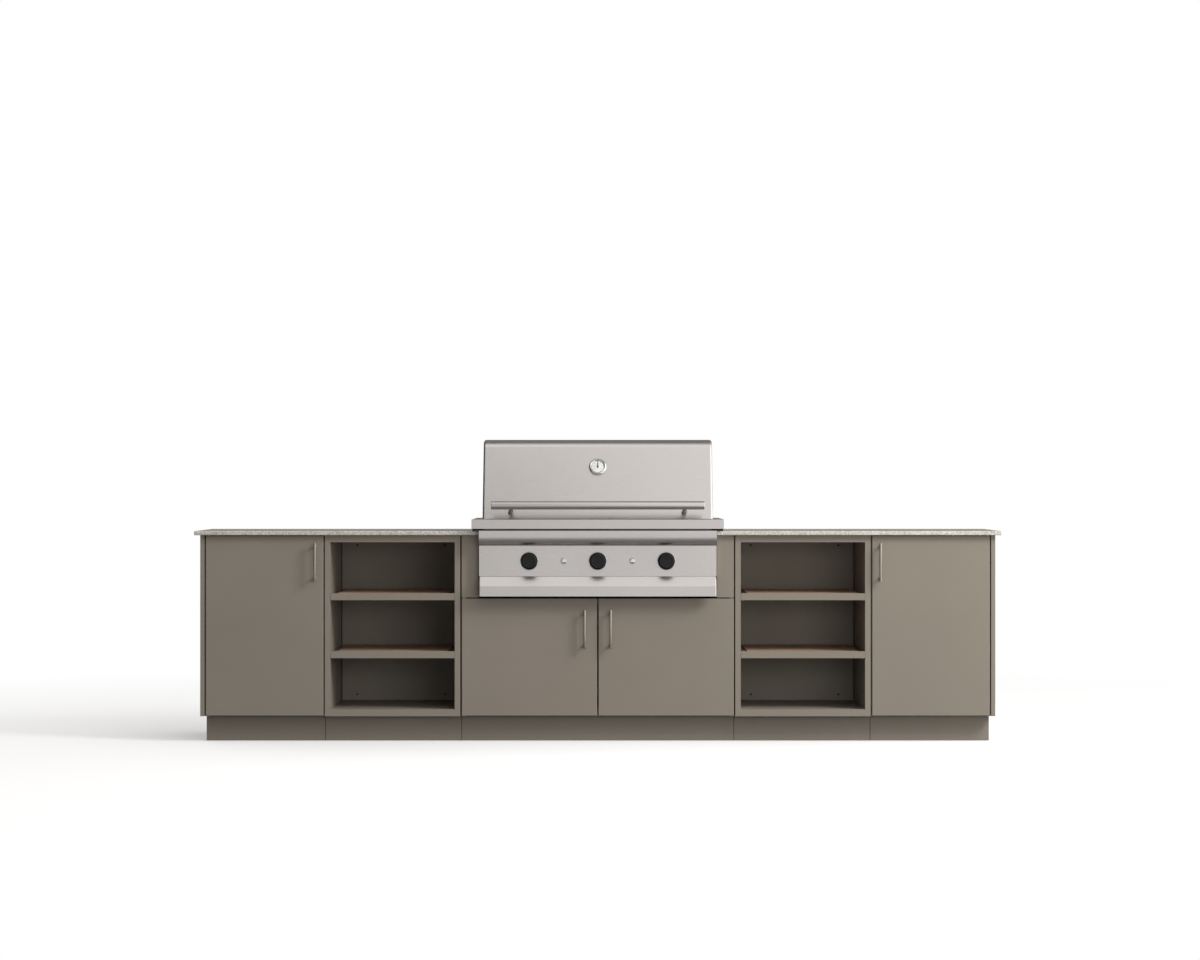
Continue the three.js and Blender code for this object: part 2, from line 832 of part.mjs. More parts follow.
// The formed panel that carries the knobs: a flat band, a rolled edge and the knob face
function controlPanel() {
  const side = panelSide;
  const back = fireboxFront - seatGap;
  const face = [
    [knobFaceY, knobFaceBottom, 0],
    [knobFaceY, knobFaceTop, 0],
    [-panelProud, knobFaceTop, rollRadius - sheet / 2],
    [-panelProud, panelTop, 0],
  ];
  const outer = rounded(face, rollSteps);
  const inner = rounded([
    [sheet - panelProud, panelTop, 0],
    [sheet - panelProud, knobFaceTop + sheet, rollRadius - sheet - sheet],
    [knobFaceY + sheet, knobFaceTop + sheet, 0],
    [knobFaceY + sheet, knobFaceBottom, 0],
  ], rollSteps);
  const cheek = [...outer, [back, panelTop], [back, knobFaceBottom]];
  const skin = join(
    prismX([...outer, ...inner], -side, side),
    block(-side, side, sheet / 2 - panelProud, back, panelTop - sheet, panelTop),
    block(-side, side, knobFaceY, knobFaceY + panelFootFlange, knobFaceBottom, knobFaceBottom + sheet),
    prismX(cheek, -side, sheet - side),
    prismX(cheek, side - sheet, side),
  );
  const holes = [
    ...knobPlaces().map((x) => [x, stemRadius + stemHoleGap]),
    ...buttonPlaces().map((x) => [x, buttonRadius + seatGap]),
  ].map(([x, radius]) => bar(
    radius,
    [x, knobFaceY - overrun, knobZ],
    [x, knobFaceY + sheet + overrun, knobZ],
    roundSides,
  ));
  return cut(skin, holes);
}

// The grease tray, whose sloping ledge and lip are the bottom of the grill's front
function dripTray() {
  const side = panelSide;
  const slope = trayLedgeHeight / trayLedgeReach;
  const drop = sheet * Math.hypot(1, slope);
  const innerCorner = trayTop - slope * (trayLedgeReach - sheet) - drop;
  const rim = fireboxFloor - railHang + sheet + seatGap;
  const panFloor = rim - trayHeight;
  const front = [
    [knobFaceY, trayTop],
    [trayLipY, trayLipTop],
    [trayLipY, trayBottom],
    [trayLipY + sheet, trayBottom],
    [trayLipY + sheet, innerCorner],
    [knobFaceY - sheet, trayTop - slope * sheet - drop],
    [knobFaceY - sheet, panFloor],
    [knobFaceY, panFloor],
  ];
  const cheek = [...front.slice(0, 3), [knobFaceY, trayBottom]];
  const panFront = knobFaceY - sheet;
  return join(
    prismX(front, -side, side),
    prismX(cheek, -side, sheet - side),
    prismX(cheek, side - sheet, side),
    block(-side, side, trayLipY, trayLipY + trayLipFlange, trayBottom, trayBottom + sheet),
    block(-traySide, traySide, panFront, trayBack, panFloor, panFloor + sheet),
    block(-traySide, traySide, trayBack - sheet, trayBack, panFloor, rim + sheet),
    block(-traySide, sheet - traySide, panFront, trayBack, panFloor, rim + sheet),
    block(traySide - sheet, traySide, panFront, trayBack, panFloor, rim + sheet),
    block(-traySide - trayFlange, sheet - traySide, panFront, trayBack, rim, rim + sheet),
    block(traySide - sheet, traySide + trayFlange, panFront, trayBack, rim, rim + sheet),
  );
}

// A knob about its axis: y = 0 is its back, the front is towards -Y
function knob() {
  const inner = stemRadius + seatGap;
  return turned([
    [0, -knobLength],
    [knobGripRadius - knobEdge, -knobLength],
    [knobGripRadius, knobEdge - knobLength],
    [knobGripRadius, -knobSkirtThickness],
    [knobRadius, knobEdge - knobSkirtThickness],
    [knobRadius, 0],
    [inner, 0],
    [inner, -knobBoreDepth],
    [0, -knobBoreDepth],
  ]);
}

// How far a stem reaches behind its knob's back
function stemReach() {
  return valveOffset + valveLength - valveHalfWidth;
}

// A valve stem with y = 0 at the back of its knob
function valveStem() {
  return turned([
    [0, seatGap - knobBoreDepth],
    [stemRadius, seatGap - knobBoreDepth],
    [stemRadius, stemReach()],
    [0, stemReach()],
  ]);
}

// The gas pipe behind the knobs with a valve at each knob and an inlet at one end
function gasManifold() {
  const y0 = knobFaceY + sheet + seatGap;
  const y1 = y0 + valveOffset;
  const y2 = y1 + valveLength;
  const pipeY = (y1 + y2) / 2;
  const reach = knobPitch * (knobCount - 1) / 2 + manifoldSideReach;
  const stemTip = knobFaceY - knobFloatGap + stemReach();
  const valves = knobPlaces().flatMap((x) => [
    block(x - valveHalfWidth, x + valveHalfWidth, y1, y2, knobZ - valveHalfHeight, knobZ + valveHalfHeight),
    bar(valveNoseRadius, [x, y0, knobZ], [x, y1 + sheet, knobZ], roundSides),
    bar(orificeRadius, [x, y2 - sheet, knobZ], [x, y2 + orificeLength, knobZ]),
  ]);
  const bores = knobPlaces().map((x) => bar(
    stemRadius + seatGap,
    [x, y0 - overrun, knobZ],
    [x, stemTip + pushTravel + seatGap, knobZ],
    roundSides,
  ));
  return cut(join(
    bar(manifoldRadius, [-reach, pipeY, knobZ], [reach, pipeY, knobZ]),
    bar(inletRadius, [reach, pipeY, knobZ + inletRadius], [reach, pipeY, knobZ - inletLength], hexSides),
    valves,
  ), bores);
}

// A push button about its axis: y = 0 is the knob face's front
function pushButton() {
  const flangeY = sheet + seatGap;
  return turned([
    [0, -buttonProud],
    [buttonRadius - buttonChamfer, -buttonProud],
    [buttonRadius, buttonChamfer - buttonProud],
    [buttonRadius, flangeY],
    [buttonRadius + buttonFlangeReach, flangeY],
    [buttonRadius + buttonFlangeReach, flangeY + buttonFlangeThickness],
    [stemRadius, flangeY + buttonFlangeThickness],
    [stemRadius, buttonLength],
    [0, buttonLength],
  ]);
}

// A tube burner along Y with ports in its top, its mouth open to the valve
function burner() {
  const mouth = fireboxFront - burnerMouthInset;
  const back = fireboxBack - plate - seatGap;
  const tube = bar(burnerRadius, [0, mouth, knobZ], [0, back, knobZ], roundSides);
  const bore = bar(
    burnerRadius - burnerWall,
    [0, mouth - overrun, knobZ],
    [0, back - burnerWall, knobZ],
    roundSides,
  );
  const ports = middles(fireboxFront + plate, back, portCount).map((y) => bar(
    portRadius,
    [0, y, knobZ],
    [0, y, knobZ + burnerRadius + overrun],
    hexSides,
  ));
  return cut(tube, bore, ports);
}

// A folded plate over the burners, with slots along its valleys
function heatPlate() {
  const side = fireboxSide - plate - runningGap;
  const z = surroundTop - heatPlateDrop + seatGap;
  const edges = spread(-side, side, 2 * heatPeaks + 1);
  const lower = edges.map((x, i) => [x, z + (i % 2 ? heatPeakHeight : 0)]);
  const upper = lower.map(([x, height]) => [x, height + plate]).reverse();
  const y0 = fireboxFront + plate + seatGap;
  const y1 = fireboxBack - plate - seatGap;
  const slots = edges.filter((x, i) => i % 2 === 0 && i > 0 && i < 2 * heatPeaks).map((x) => block(
    x - heatSlotWidth / 2,
    x + heatSlotWidth / 2,
    y0 + 2 * innerLedge,
    y1 - 2 * innerLedge,
    z - overrun,
    z + heatPeakHeight,
  ));
  return cut(prismY([...lower, ...upper], y0, y1), slots);
}

// The grates share the firebox's inner width
function grateWidth() {
  return (2 * (fireboxSide - plate) - (knobCount + 1) * grateGap) / knobCount;
}

// A cooking grate: parallel bars between two end bars
function cookingGrate() {
  const half = grateWidth() / 2;
  const z = surroundTop - grateDrop + seatGap;
  const y0 = fireboxFront + plate + grateGap;
  const y1 = fireboxBack - plate - grateGap;
  const bars = spread(-half + grateBar / 2, half - grateBar / 2, grateBarCount).map((x) => block(
    x - grateBar / 2,
    x + grateBar / 2,
    y0,
    y1,
    z,
    z + grateBar,
  ));
  return join(
    bars,
    block(-half, half, y0, y0 + grateBar, z, z + grateBar),
    block(-half, half, y1 - grateBar, y1, z, z + grateBar),
  );
}

// A wire rack over the back of the grates, standing on the surround
function warmingRack() {
  const side = fireboxSide - surroundRim + rackFootInset;
  const z = surroundTop + rackHeight;
  const y1 = fireboxBack - rackBackInset;
  const y0 = y1 - rackDepth;
  const wires = middles(-side, side, rackWireCount).map((x) => block(
    x - rackWire / 2,
    x + rackWire / 2,
    y0,
    y1,
    z - rackWire / 2,
    z + rackWire / 2,
  ));
  const rails = [y0, y1].map((y) => bar(rackRodRadius, [-side, y, z], [side, y, z], wireSides));
  const legs = [-side, side].flatMap((x) => [y0, y1].map((y) => bar(
    rackRodRadius,
    [x, y, surroundTop + seatGap],
    [x, y, z + rackRodRadius],
    wireSides,
  )));
  return join(rails, legs, wires);
}

// A point on the hood's sloping face: how far up the face, and how far out from it
function facePoint(x, up, out) {
  const [s, c] = [Math.sin(hoodSlope), Math.cos(hoodSlope)];
  return [x, hoodFront + up * s - out * c, hoodBottom + up * c + out * s];
}

function hood() {
  const side = hoodSide;
  const corners = [
    [hoodFront, hoodBottom, 0],
    [hoodFront + hoodSlopeRun, hoodTop, hoodFrontBend],
    [hoodBack - hoodKneeRun, hoodTop, hoodKneeBend],
    [hoodBack, hoodTop - hoodKneeDrop, hoodKneeBend],
    [hoodBack, hoodBottom, hoodPivotRadius],
  ];
  const [, frontTop, backTop, knee, foot] = inset(corners, sheet);
  const slopeInset = sheet / Math.cos(hoodSlope) - overrun * Math.tan(hoodSlope);
  const inner = [
    [hoodFront + slopeInset, hoodBottom - overrun, 0],
    frontTop,
    backTop,
    knee,
    foot,
    [hoodAxisY, hoodBottom + sheet, 0],
    [hoodAxisY, hoodBottom - overrun, 0],
  ];
  const shell = cut(
    prismX(rounded(corners), -side, side),
    prismX(rounded(inner), sheet - side, side - sheet),
  );
  const gaugeHole = bar(
    gaugeStemRadius + seatGap,
    facePoint(0, gaugeRise, overrun),
    facePoint(0, gaugeRise, -sheet - overrun),
    roundSides,
  );
  return cut(shell, hoodRodHole(), gaugeHole);
}

// The hood's handle, in the frame of its sloping face: Z up the face, -Y out from it
function hoodHandle() {
  const post = handleHalf - handlePostInset;
  return join(
    bar(handleRadius, [-handleHalf, -handleStandoff, 0], [handleHalf, -handleStandoff, 0], roundSides),
    [-post, post].map((x) => bar(handlePostRadius, [x, -handleStandoff, 0], [x, -seatGap, 0])),
  );
}

function thermometerCase() {
  const face = gaugeFaceDepth - gaugeThickness;
  return turned([
    [0, face + needlePinDepth + seatGap],
    [needlePinRadius + seatGap, face + needlePinDepth + seatGap],
    [needlePinRadius + seatGap, face],
    [gaugeFaceRadius, face],
    [gaugeFaceRadius, -gaugeThickness],
    [gaugeRadius - gaugeBevel, -gaugeThickness],
    [gaugeRadius, gaugeBevel - gaugeThickness],
    [gaugeRadius, -seatGap],
    [gaugeStemRadius, -seatGap],
    [gaugeStemRadius, gaugeStemLength],
    [0, gaugeStemLength],
  ]);
}

// The thermometer's needle, with y = 0 on the dial's face and its pin in the case
function thermometerNeedle() {
  const y0 = -seatGap - needleThickness;
  const pointer = prismY([
    [-needleWidth / 2, -needleTail],
    [needleWidth / 2, -needleTail],
    [needleWidth / 4, needleLength],
    [-needleWidth / 4, needleLength],
  ], y0, -seatGap);
  const hub = bar(needleHubRadius, [0, y0 - needleThickness, 0], [0, -seatGap, 0]);
  const pin = bar(needlePinRadius, [0, y0, 0], [0, needlePinDepth, 0], roundSides);
  return join(pointer, hub, pin);
}

// The island, put together

const island = new THREE.Group();

const modules = {
  leftDoor: -(grillBaseWidth / 2 + openCabinetWidth + doorCabinetWidth / 2),
  leftOpen: -(grillBaseWidth + openCabinetWidth) / 2,
  grill: 0,
  rightOpen: (grillBaseWidth + openCabinetWidth) / 2,
  rightDoor: grillBaseWidth / 2 + openCabinetWidth + doorCabinetWidth / 2,
};

for (const [label, side] of [['left', -1], ['right', 1]]) {
  const panelX = side * (rowWidth / 2 - endPanelThickness / 2 + seatGap);
  const end = groupAt(island, panelX, 0, 0);
  piece(end, `${label}_end_panel`, endPanel(), finishes.powderCoat);

  const closed = groupAt(island, modules[`${label}Door`], 0, 0);
  const axisX = sideHingeX(doorCabinetWidth, side);
  const hingeEdge = side * (doorCabinetWidth / 2 - hingeReveal);
  const latchEdge = -side * (doorCabinetWidth / 2 - moduleReveal);
  const doorTop = boxTop - doorFootGap;
  const edges = [hingeEdge, latchEdge].sort((a, b) => a - b);
  piece(closed, `${label}_door_plinth`, baseFrame(doorCabinetWidth), finishes.powderCoat);
  piece(closed, `${label}_door_cabinet`, doorCabinet(side), finishes.powderCoat);
  piece(closed, `${label}_door_hinge_rod`, hingeRod(axisX, boxTop), finishes.brushedSteel);
  piece(closed, `${label}_door`, door(...edges, axisX, doorTop), finishes.powderCoat);
  const pull = piece(closed, `${label}_door_handle`, pullHandle(), finishes.brushedSteel);
  pull.position.set(latchEdge + side * sidePullInset, 0, doorTop - sidePullDrop);

  const open = groupAt(island, modules[`${label}Open`], 0, 0);
  piece(open, `${label}_open_plinth`, baseFrame(openCabinetWidth), finishes.powderCoat);
  piece(open, `${label}_open_cabinet`, openCabinet(), finishes.powderCoat);
  shelfTops.forEach((z, i) => {
    const level = groupAt(open, 0, 0, z);
    const row = ['lower', 'upper'][i] ?? `row${i + 1}`;
    piece(level, `${label}_${row}_shelf`, shelfPan(), finishes.powderCoat);
    piece(level, `${label}_${row}_shelf_deck`, shelfDeck(), finishes.deckBoard);
  });

  piece(island, `${label}_countertop`, counterHalf(side), finishes.stone);
}

const grillBase = groupAt(island, modules.grill, 0, 0);
piece(grillBase, 'grill_base_plinth', baseFrame(grillBaseWidth), finishes.powderCoat);
piece(grillBase, 'grill_base_cabinet', grillBaseCabinet(), finishes.powderCoat);
for (const [label, side] of [['left', -1], ['right', 1]]) {
  const axisX = grillHingeX(side);
  const edges = [side * (grillBaseWidth / 2 - moduleReveal), side * moduleReveal];
  const [x0, x1] = edges.sort((a, b) => a - b);
  piece(grillBase, `grill_${label}_door`, door(x0, x1, axisX, grillDoorTop), finishes.powderCoat);
  const rod = hingeRod(axisX, fillerBottom + sheet);
  piece(grillBase, `grill_${label}_door_hinge_rod`, rod, finishes.brushedSteel);
  const pull = piece(grillBase, `grill_${label}_door_handle`, pullHandle(), finishes.brushedSteel);
  const pullX = side * (moduleReveal + grillPullInset);
  pull.position.set(pullX, 0, grillDoorTop - grillPullDrop);
}

const grill = groupAt(grillBase, 0, 0, 0);
piece(grill, 'grill_firebox', firebox(), finishes.plainSteel);
piece(grill, 'grill_surround', surround(), finishes.brushedSteel);
piece(grill, 'control_panel', controlPanel(), finishes.brushedSteel);
piece(grill, 'drip_tray', dripTray(), finishes.brushedSteel);
piece(grill, 'gas_manifold', gasManifold(), finishes.brass);
piece(grill, 'heat_plate', heatPlate(), finishes.plainSteel);
piece(grill, 'warming_rack', warmingRack(), finishes.polishedSteel);

const columnNames = ['left', 'centre', 'right'];
knobPlaces().forEach((x, i) => {
  const name = columnNames[i] ?? `column${i + 1}`;
  const axis = groupAt(grill, x, knobFaceY - knobFloatGap, knobZ);
  piece(axis, `${name}_knob`, knob(), finishes.blackPlastic);
  piece(axis, `${name}_valve_stem`, valveStem(), finishes.brass);
  const column = groupAt(grill, x, 0, 0);
  piece(column, `${name}_burner`, burner(), finishes.plainSteel);
  const grateX = (i - (knobCount - 1) / 2) * (grateWidth() + grateGap);
  const grate = piece(grill, `${name}_cooking_grate`, cookingGrate(), finishes.castIron);
  grate.position.set(grateX, 0, 0);
});

buttonPlaces().forEach((x, i) => {
  const name = ['left', 'right'][i] ?? `button${i + 1}`;
  const button = piece(grill, `${name}_push_button`, pushButton(), finishes.polishedSteel);
  button.position.set(x, knobFaceY, knobZ);
});

const lid = groupAt(grill, 0, 0, 0);
piece(lid, 'hood', hood(), finishes.brushedSteel);
piece(
  grill,
  'hood_hinge_rod',
  bar(hoodRodRadius, [-hoodRodEnd(), hoodAxisY, hoodAxisZ], [hoodRodEnd(), hoodAxisY, hoodAxisZ]),
  finishes.brushedSteel,
);

const lidFace = groupAt(lid, 0, hoodFront, hoodBottom);
lidFace.rotation.x = -hoodSlope;
const lidHandle = piece(lidFace, 'hood_handle', hoodHandle(), finishes.brushedSteel);
lidHandle.position.set(0, 0, handleRise);
const gauge = groupAt(lidFace, 0, 0, gaugeRise);
piece(gauge, 'thermometer_case', thermometerCase(), finishes.polishedSteel);
const needle = piece(gauge, 'thermometer_needle', thermometerNeedle(), finishes.blackPlastic);
needle.position.set(0, gaugeFaceDepth - gaugeThickness, 0);

// The origin: on the floor, under the middle of the overall box
const handleFront = facePoint(0, handleRise, handleStandoff)[1] - handleRadius;
island.position.set(0, -(handleFront + cabinetDepth) / 2, 0);

export default island;
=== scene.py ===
"""Looks for the outdoor kitchen island: materials, finer pieces and a plain studio."""

import json
import math

import bmesh
import bpy
from mathutils import Matrix, Vector

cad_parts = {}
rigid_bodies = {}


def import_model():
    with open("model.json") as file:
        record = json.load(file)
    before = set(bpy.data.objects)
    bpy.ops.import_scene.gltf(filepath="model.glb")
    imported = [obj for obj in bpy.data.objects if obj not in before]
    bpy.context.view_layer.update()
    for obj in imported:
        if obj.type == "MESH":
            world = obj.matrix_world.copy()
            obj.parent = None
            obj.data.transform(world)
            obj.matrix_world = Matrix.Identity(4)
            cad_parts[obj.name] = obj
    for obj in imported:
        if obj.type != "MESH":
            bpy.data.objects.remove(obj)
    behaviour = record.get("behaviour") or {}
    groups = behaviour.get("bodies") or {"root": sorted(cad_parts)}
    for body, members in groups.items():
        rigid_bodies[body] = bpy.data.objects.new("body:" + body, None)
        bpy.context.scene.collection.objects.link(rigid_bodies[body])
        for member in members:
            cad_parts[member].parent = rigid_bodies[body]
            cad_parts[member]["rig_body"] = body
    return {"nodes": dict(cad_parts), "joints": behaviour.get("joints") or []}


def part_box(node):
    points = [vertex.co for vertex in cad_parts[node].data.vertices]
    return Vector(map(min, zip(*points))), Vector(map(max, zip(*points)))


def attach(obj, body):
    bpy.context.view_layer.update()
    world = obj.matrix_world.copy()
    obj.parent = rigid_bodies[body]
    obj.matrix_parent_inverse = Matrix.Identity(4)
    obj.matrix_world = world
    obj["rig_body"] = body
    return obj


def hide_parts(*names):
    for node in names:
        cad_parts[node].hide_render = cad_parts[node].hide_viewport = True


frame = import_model()
NODES = frame["nodes"]
JOINTS = {joint["name"]: joint for joint in frame["joints"]}
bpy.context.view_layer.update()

MM = 0.001
SMOOTH_ANGLE = math.radians(32)
BEVEL_ANGLE = math.radians(31.5)
FLAT_ANGLE = math.radians(0.2)
WELD_REACH = 0.001 * MM
DOUBLES_REACH = 0.0005 * MM


# Colours

def screen(red, green, blue):
    """The linear colour of an 8-bit screen colour."""
    def linear(value):
        share = value / 255
        return share / 12.92 if share <= 0.04045 else ((share + 0.055) / 1.055) ** 2.4
    return (linear(red), linear(green), linear(blue), 1.0)


def shade(colour, scale):
    return tuple(channel * scale for channel in colour[:3]) + (1.0,)


TAUPE = screen(142, 134, 123)
STEEL = screen(208, 203, 200)
# Painted shade: the pulls and hinge rods get a darker copy of the brushed steel
SHADED_PULL_STEEL = screen(170, 162, 151)
# Painted shade: the hood handle's posts get a darker copy of its brushed steel
SHADED_POST_STEEL = screen(150, 146, 142)
PLAIN_STEEL = screen(168, 168, 166)
CHROME = screen(222, 222, 221)
BRASS = screen(184, 146, 80)
IRON = screen(44, 43, 42)
BLACK = screen(25, 25, 26)
ENAMEL = screen(244, 243, 239)
INK = screen(28, 28, 30)
BOARD = screen(188, 156, 134)


# Nodes of any tree

def add_node(tree, kind, inputs=None, **settings):
    """A new node; each of its inputs gets a value or another node's socket."""
    node = tree.nodes.new(kind)
    for key, value in settings.items():
        setattr(node, key, value)
    for key, value in (inputs or {}).items():
        if isinstance(value, bpy.types.NodeSocket):
            tree.links.new(value, node.inputs[key])
        else:
            node.inputs[key].default_value = value
    return node


def chained(tree, operation, values):
    """One number from several, joined in turn by the same operation."""
    total = values[0]
    for value in values[1:]:
        inputs = {0: total, 1: value}
        total = add_node(tree, "ShaderNodeMath", inputs, operation=operation).outputs[0]
    return total


def smooth_step(tree, value, start, end, low=0.0, high=1.0):
    """Goes smoothly from low to high as the value goes from start to end."""
    return add_node(tree, "ShaderNodeMapRange", {
        "Value": value,
        "From Min": start,
        "From Max": end,
        "To Min": low,
        "To Max": high,
    }, interpolation_type="SMOOTHSTEP").outputs[0]


def mixed_shader(tree, share, first, second):
    """The first shader where the share is 0, the second where it is 1."""
    inputs = {0: share, 1: first.outputs[0], 2: second.outputs[0]}
    return add_node(tree, "ShaderNodeMixShader", inputs)


# Material graphs

FACING_LIMIT = 0.8


class Graph:
    """A material's nodes around its principled shader."""

    def __init__(self, name, **sockets):
        self.material = bpy.data.materials.new(name)
        self.material.use_nodes = True
        self.tree = self.material.node_tree
        self.shader = self.tree.nodes["Principled BSDF"]
        for socket, value in sockets.items():
            self.shader.inputs[socket.replace("_", " ")].default_value = value
        self.coordinates = self.add("TexCoord")

    def add(self, kind, inputs=None, **settings):
        return add_node(self.tree, "ShaderNode" + kind, inputs, **settings)

    def link(self, socket, name):
        self.tree.links.new(socket, self.shader.inputs[name])

    def place(self, stretch=(1, 1, 1)):
        """Places on the piece, drawn out along an axis where its stretch is small."""
        return self.add("Mapping", {
            "Vector": self.coordinates.outputs["Object"],
            "Scale": stretch,
        }).outputs["Vector"]

    def noise(self, scale, detail=2.0, stretch=(1, 1, 1), rough=0.5):
        return self.add("TexNoise", {
            "Vector": self.place(stretch),
            "Scale": scale,
            "Detail": detail,
            "Roughness": rough,
        }).outputs["Fac"]

    def cell_colours(self, scale):
        """The random colours of cells, split in three numbers."""
        cells = self.add("TexVoronoi", {"Vector": self.place(), "Scale": scale})
        return self.add("SeparateColor", {"Color": cells.outputs["Color"]}).outputs

    def ranged(self, value, low, high, start=0.3, end=0.7):
        """A value between low and high as the given one goes from start to end."""
        return self.add("MapRange", {
            "Value": value,
            "From Min": start,
            "From Max": end,
            "To Min": low,
            "To Max": high,
        }).outputs["Result"]

    def ramp(self, value, stops, interpolation="LINEAR"):
        node = self.add("ValToRGB", {"Fac": value})
        node.color_ramp.interpolation = interpolation
        elements = node.color_ramp.elements
        while len(elements) > 1:
            elements.remove(elements[-1])
        elements[0].position, elements[0].color = stops[0]
        for position, colour in stops[1:]:
            elements.new(position).color = colour
        return node.outputs["Color"]

    def blend(self, share, first, second, mode="MIX"):
        """The first colour where the share is 0, the second where it is 1."""
        inputs = {0: share, 6: first, 7: second}
        return self.add("Mix", inputs, data_type="RGBA", blend_type=mode).outputs[2]

    def combine(self, operation, *values):
        return chained(self.tree, operation, values)

    def absolute(self, value):
        return self.add("Math", {0: value}, operation="ABSOLUTE").outputs[0]

    def bump(self, height, distance, strength=1.0, under=None):
        inputs = {"Height": height, "Distance": distance, "Strength": strength}
        if under is not None:
            inputs["Normal"] = under
        return self.add("Bump", inputs).outputs["Normal"]

    def facing(self, axis):
        """1 where the surface faces along an axis of the piece, either way, else 0."""
        parts = self.add("SeparateXYZ", {"Vector": self.coordinates.outputs["Normal"]})
        return self.combine("GREATER_THAN", self.absolute(parts.outputs[axis]), FACING_LIMIT)


# Painted shade along the seams between plinths, standing in for the shadow in their gaps: its half
# width, fade and depth
SEAM_REACH = 1.3 * MM
SEAM_FADE = 1.3
SEAM_SHADE_DEPTH = 0.85
GRAIN_STRETCH = 0.006


def powder_coat(name="powder_coat", seams=()):
    """A satin textured coat: fine peel, faint mottling, and painted shade darkening its upright
    seams.
    """
    graph = Graph(name, Metallic=0.0, IOR=1.46, Specular_IOR_Level=0.35)
    mottle = graph.noise(2.6, 3.0)
    grain = graph.noise(420, 2.0)
    tone = graph.ramp(mottle, [(0.3, shade(TAUPE, 0.955)), (0.7, shade(TAUPE, 1.045))])
    fleck = graph.ramp(grain, [(0.38, shade(TAUPE, 0.9)), (0.66, shade(TAUPE, 1.1))])
    colour = graph.blend(0.35, tone, fleck)
    # Painted shade: dark lines at the given seams, darkest on the seam and fading out to each side
    if seams:
        x = graph.add("SeparateXYZ", {"Vector": graph.coordinates.outputs["Object"]}).outputs[0]
        gaps = [graph.absolute(graph.combine("SUBTRACT", x, seam)) for seam in seams]
        away = graph.combine("MINIMUM", *gaps)
        seam_shade = graph.ranged(away, SEAM_SHADE_DEPTH, 0.0, SEAM_REACH, SEAM_REACH * SEAM_FADE)
        colour = graph.blend(seam_shade, colour, shade(TAUPE, 0.05))
    graph.link(colour, "Base Color")
    graph.link(graph.ranged(graph.noise(7, 3.0), 0.4, 0.5), "Roughness")
    peel = graph.bump(graph.noise(700, 2.0), 0.03 * MM, 0.5)
    graph.link(graph.bump(grain, 0.05 * MM, 0.35, peel), "Normal")
    return graph.material


def brushed(name, colour, low, high, lines=0, cross=1):
    """Brushed steel with its grain along one axis, and along another where it faces the first."""
    graph = Graph(name, Metallic=1.0)
    stretches = []
    for axis in (lines, cross):
        stretch = [1.0, 1.0, 1.0]
        stretch[axis] = GRAIN_STRETCH
        stretches.append(stretch)
    ends = graph.facing(lines)

    def grain(scale, detail):
        along, across = (graph.noise(scale, detail, stretch) for stretch in stretches)
        return graph.blend(ends, along, across)

    fine = grain(1500, 2.0)
    broad = grain(160, 3.0)
    smudge = graph.noise(5.5, 3.0)
    tone = graph.ramp(broad, [(0.3, shade(colour, 0.995)), (0.7, shade(colour, 1.005))])
    lines_tone = graph.ramp(fine, [(0.25, shade(colour, 0.972)), (0.75, shade(colour, 1.022))])
    graph.link(graph.blend(0.4, tone, lines_tone), "Base Color")
    graph.link(graph.combine(
        "ADD",
        graph.ranged(fine, low, high, 0.25, 0.75),
        graph.ranged(smudge, -0.025, 0.035),
    ), "Roughness")
    graph.link(graph.bump(fine, 0.01 * MM, 0.3), "Normal")
    return graph.material


def polished(name, colour, low, high):
    graph = Graph(name, Metallic=1.0)
    haze = graph.noise(28, 4.0)
    scratches = graph.noise(900, 2.0, (1.0, 0.02, 1.0))
    tone = graph.ramp(haze, [(0.3, shade(colour, 0.95)), (0.7, shade(colour, 1.02))])
    graph.link(tone, "Base Color")
    graph.link(graph.combine(
        "ADD",
        graph.ranged(haze, low, high),
        graph.ranged(scratches, 0.0, 0.03),
    ), "Roughness")
    graph.link(graph.bump(scratches, 0.004 * MM, 0.4), "Normal")
    return graph.material


def plain_steel():
    """Mill-finish sheet with rolling marks and the straw tint of heat."""
    graph = Graph("plain_steel", Metallic=1.0)
    rolling = graph.noise(260, 3.0, (0.02, 1.0, 1.0))
    heat = graph.noise(4.2, 3.0)
    tone = graph.ramp(heat, [
        (0.35, PLAIN_STEEL),
        (0.6, screen(158, 148, 130)),
        (0.78, screen(132, 118, 104)),
    ])
    lines = graph.ramp(rolling, [
        (0.3, shade(PLAIN_STEEL, 0.88)),
        (0.7, shade(PLAIN_STEEL, 1.05)),
    ])
    graph.link(graph.blend(0.4, tone, lines), "Base Color")
    graph.link(graph.ranged(rolling, 0.34, 0.48), "Roughness")
    graph.link(graph.bump(rolling, 0.02 * MM, 0.4), "Normal")
    return graph.material


def cast_iron():
    graph = Graph("cast_iron", Metallic=0.2, IOR=1.6)
    sand = graph.noise(620, 4.0, rough=0.65)
    soot = graph.noise(14, 3.0)
    tone = graph.ramp(soot, [(0.35, shade(IRON, 0.75)), (0.7, shade(IRON, 1.5))])
    graph.link(graph.blend(0.25, tone, graph.ramp(sand, [
        (0.4, shade(IRON, 0.5)),
        (0.7, shade(IRON, 2.0)),
    ])), "Base Color")
    graph.link(graph.ranged(soot, 0.5, 0.68), "Roughness")
    graph.link(graph.bump(sand, 0.14 * MM, 0.8), "Normal")
    return graph.material


def brass():
    graph = Graph("brass", Metallic=1.0)
    turning = graph.noise(1100, 2.0, (1.0, 0.03, 1.0))
    dull = graph.noise(55, 3.0)
    tone = graph.ramp(dull, [(0.35, shade(BRASS, 0.78)), (0.7, shade(BRASS, 1.05))])
    graph.link(tone, "Base Color")
    graph.link(graph.ranged(dull, 0.3, 0.46), "Roughness")
    graph.link(graph.bump(turning, 0.008 * MM, 0.5), "Normal")
    return graph.material


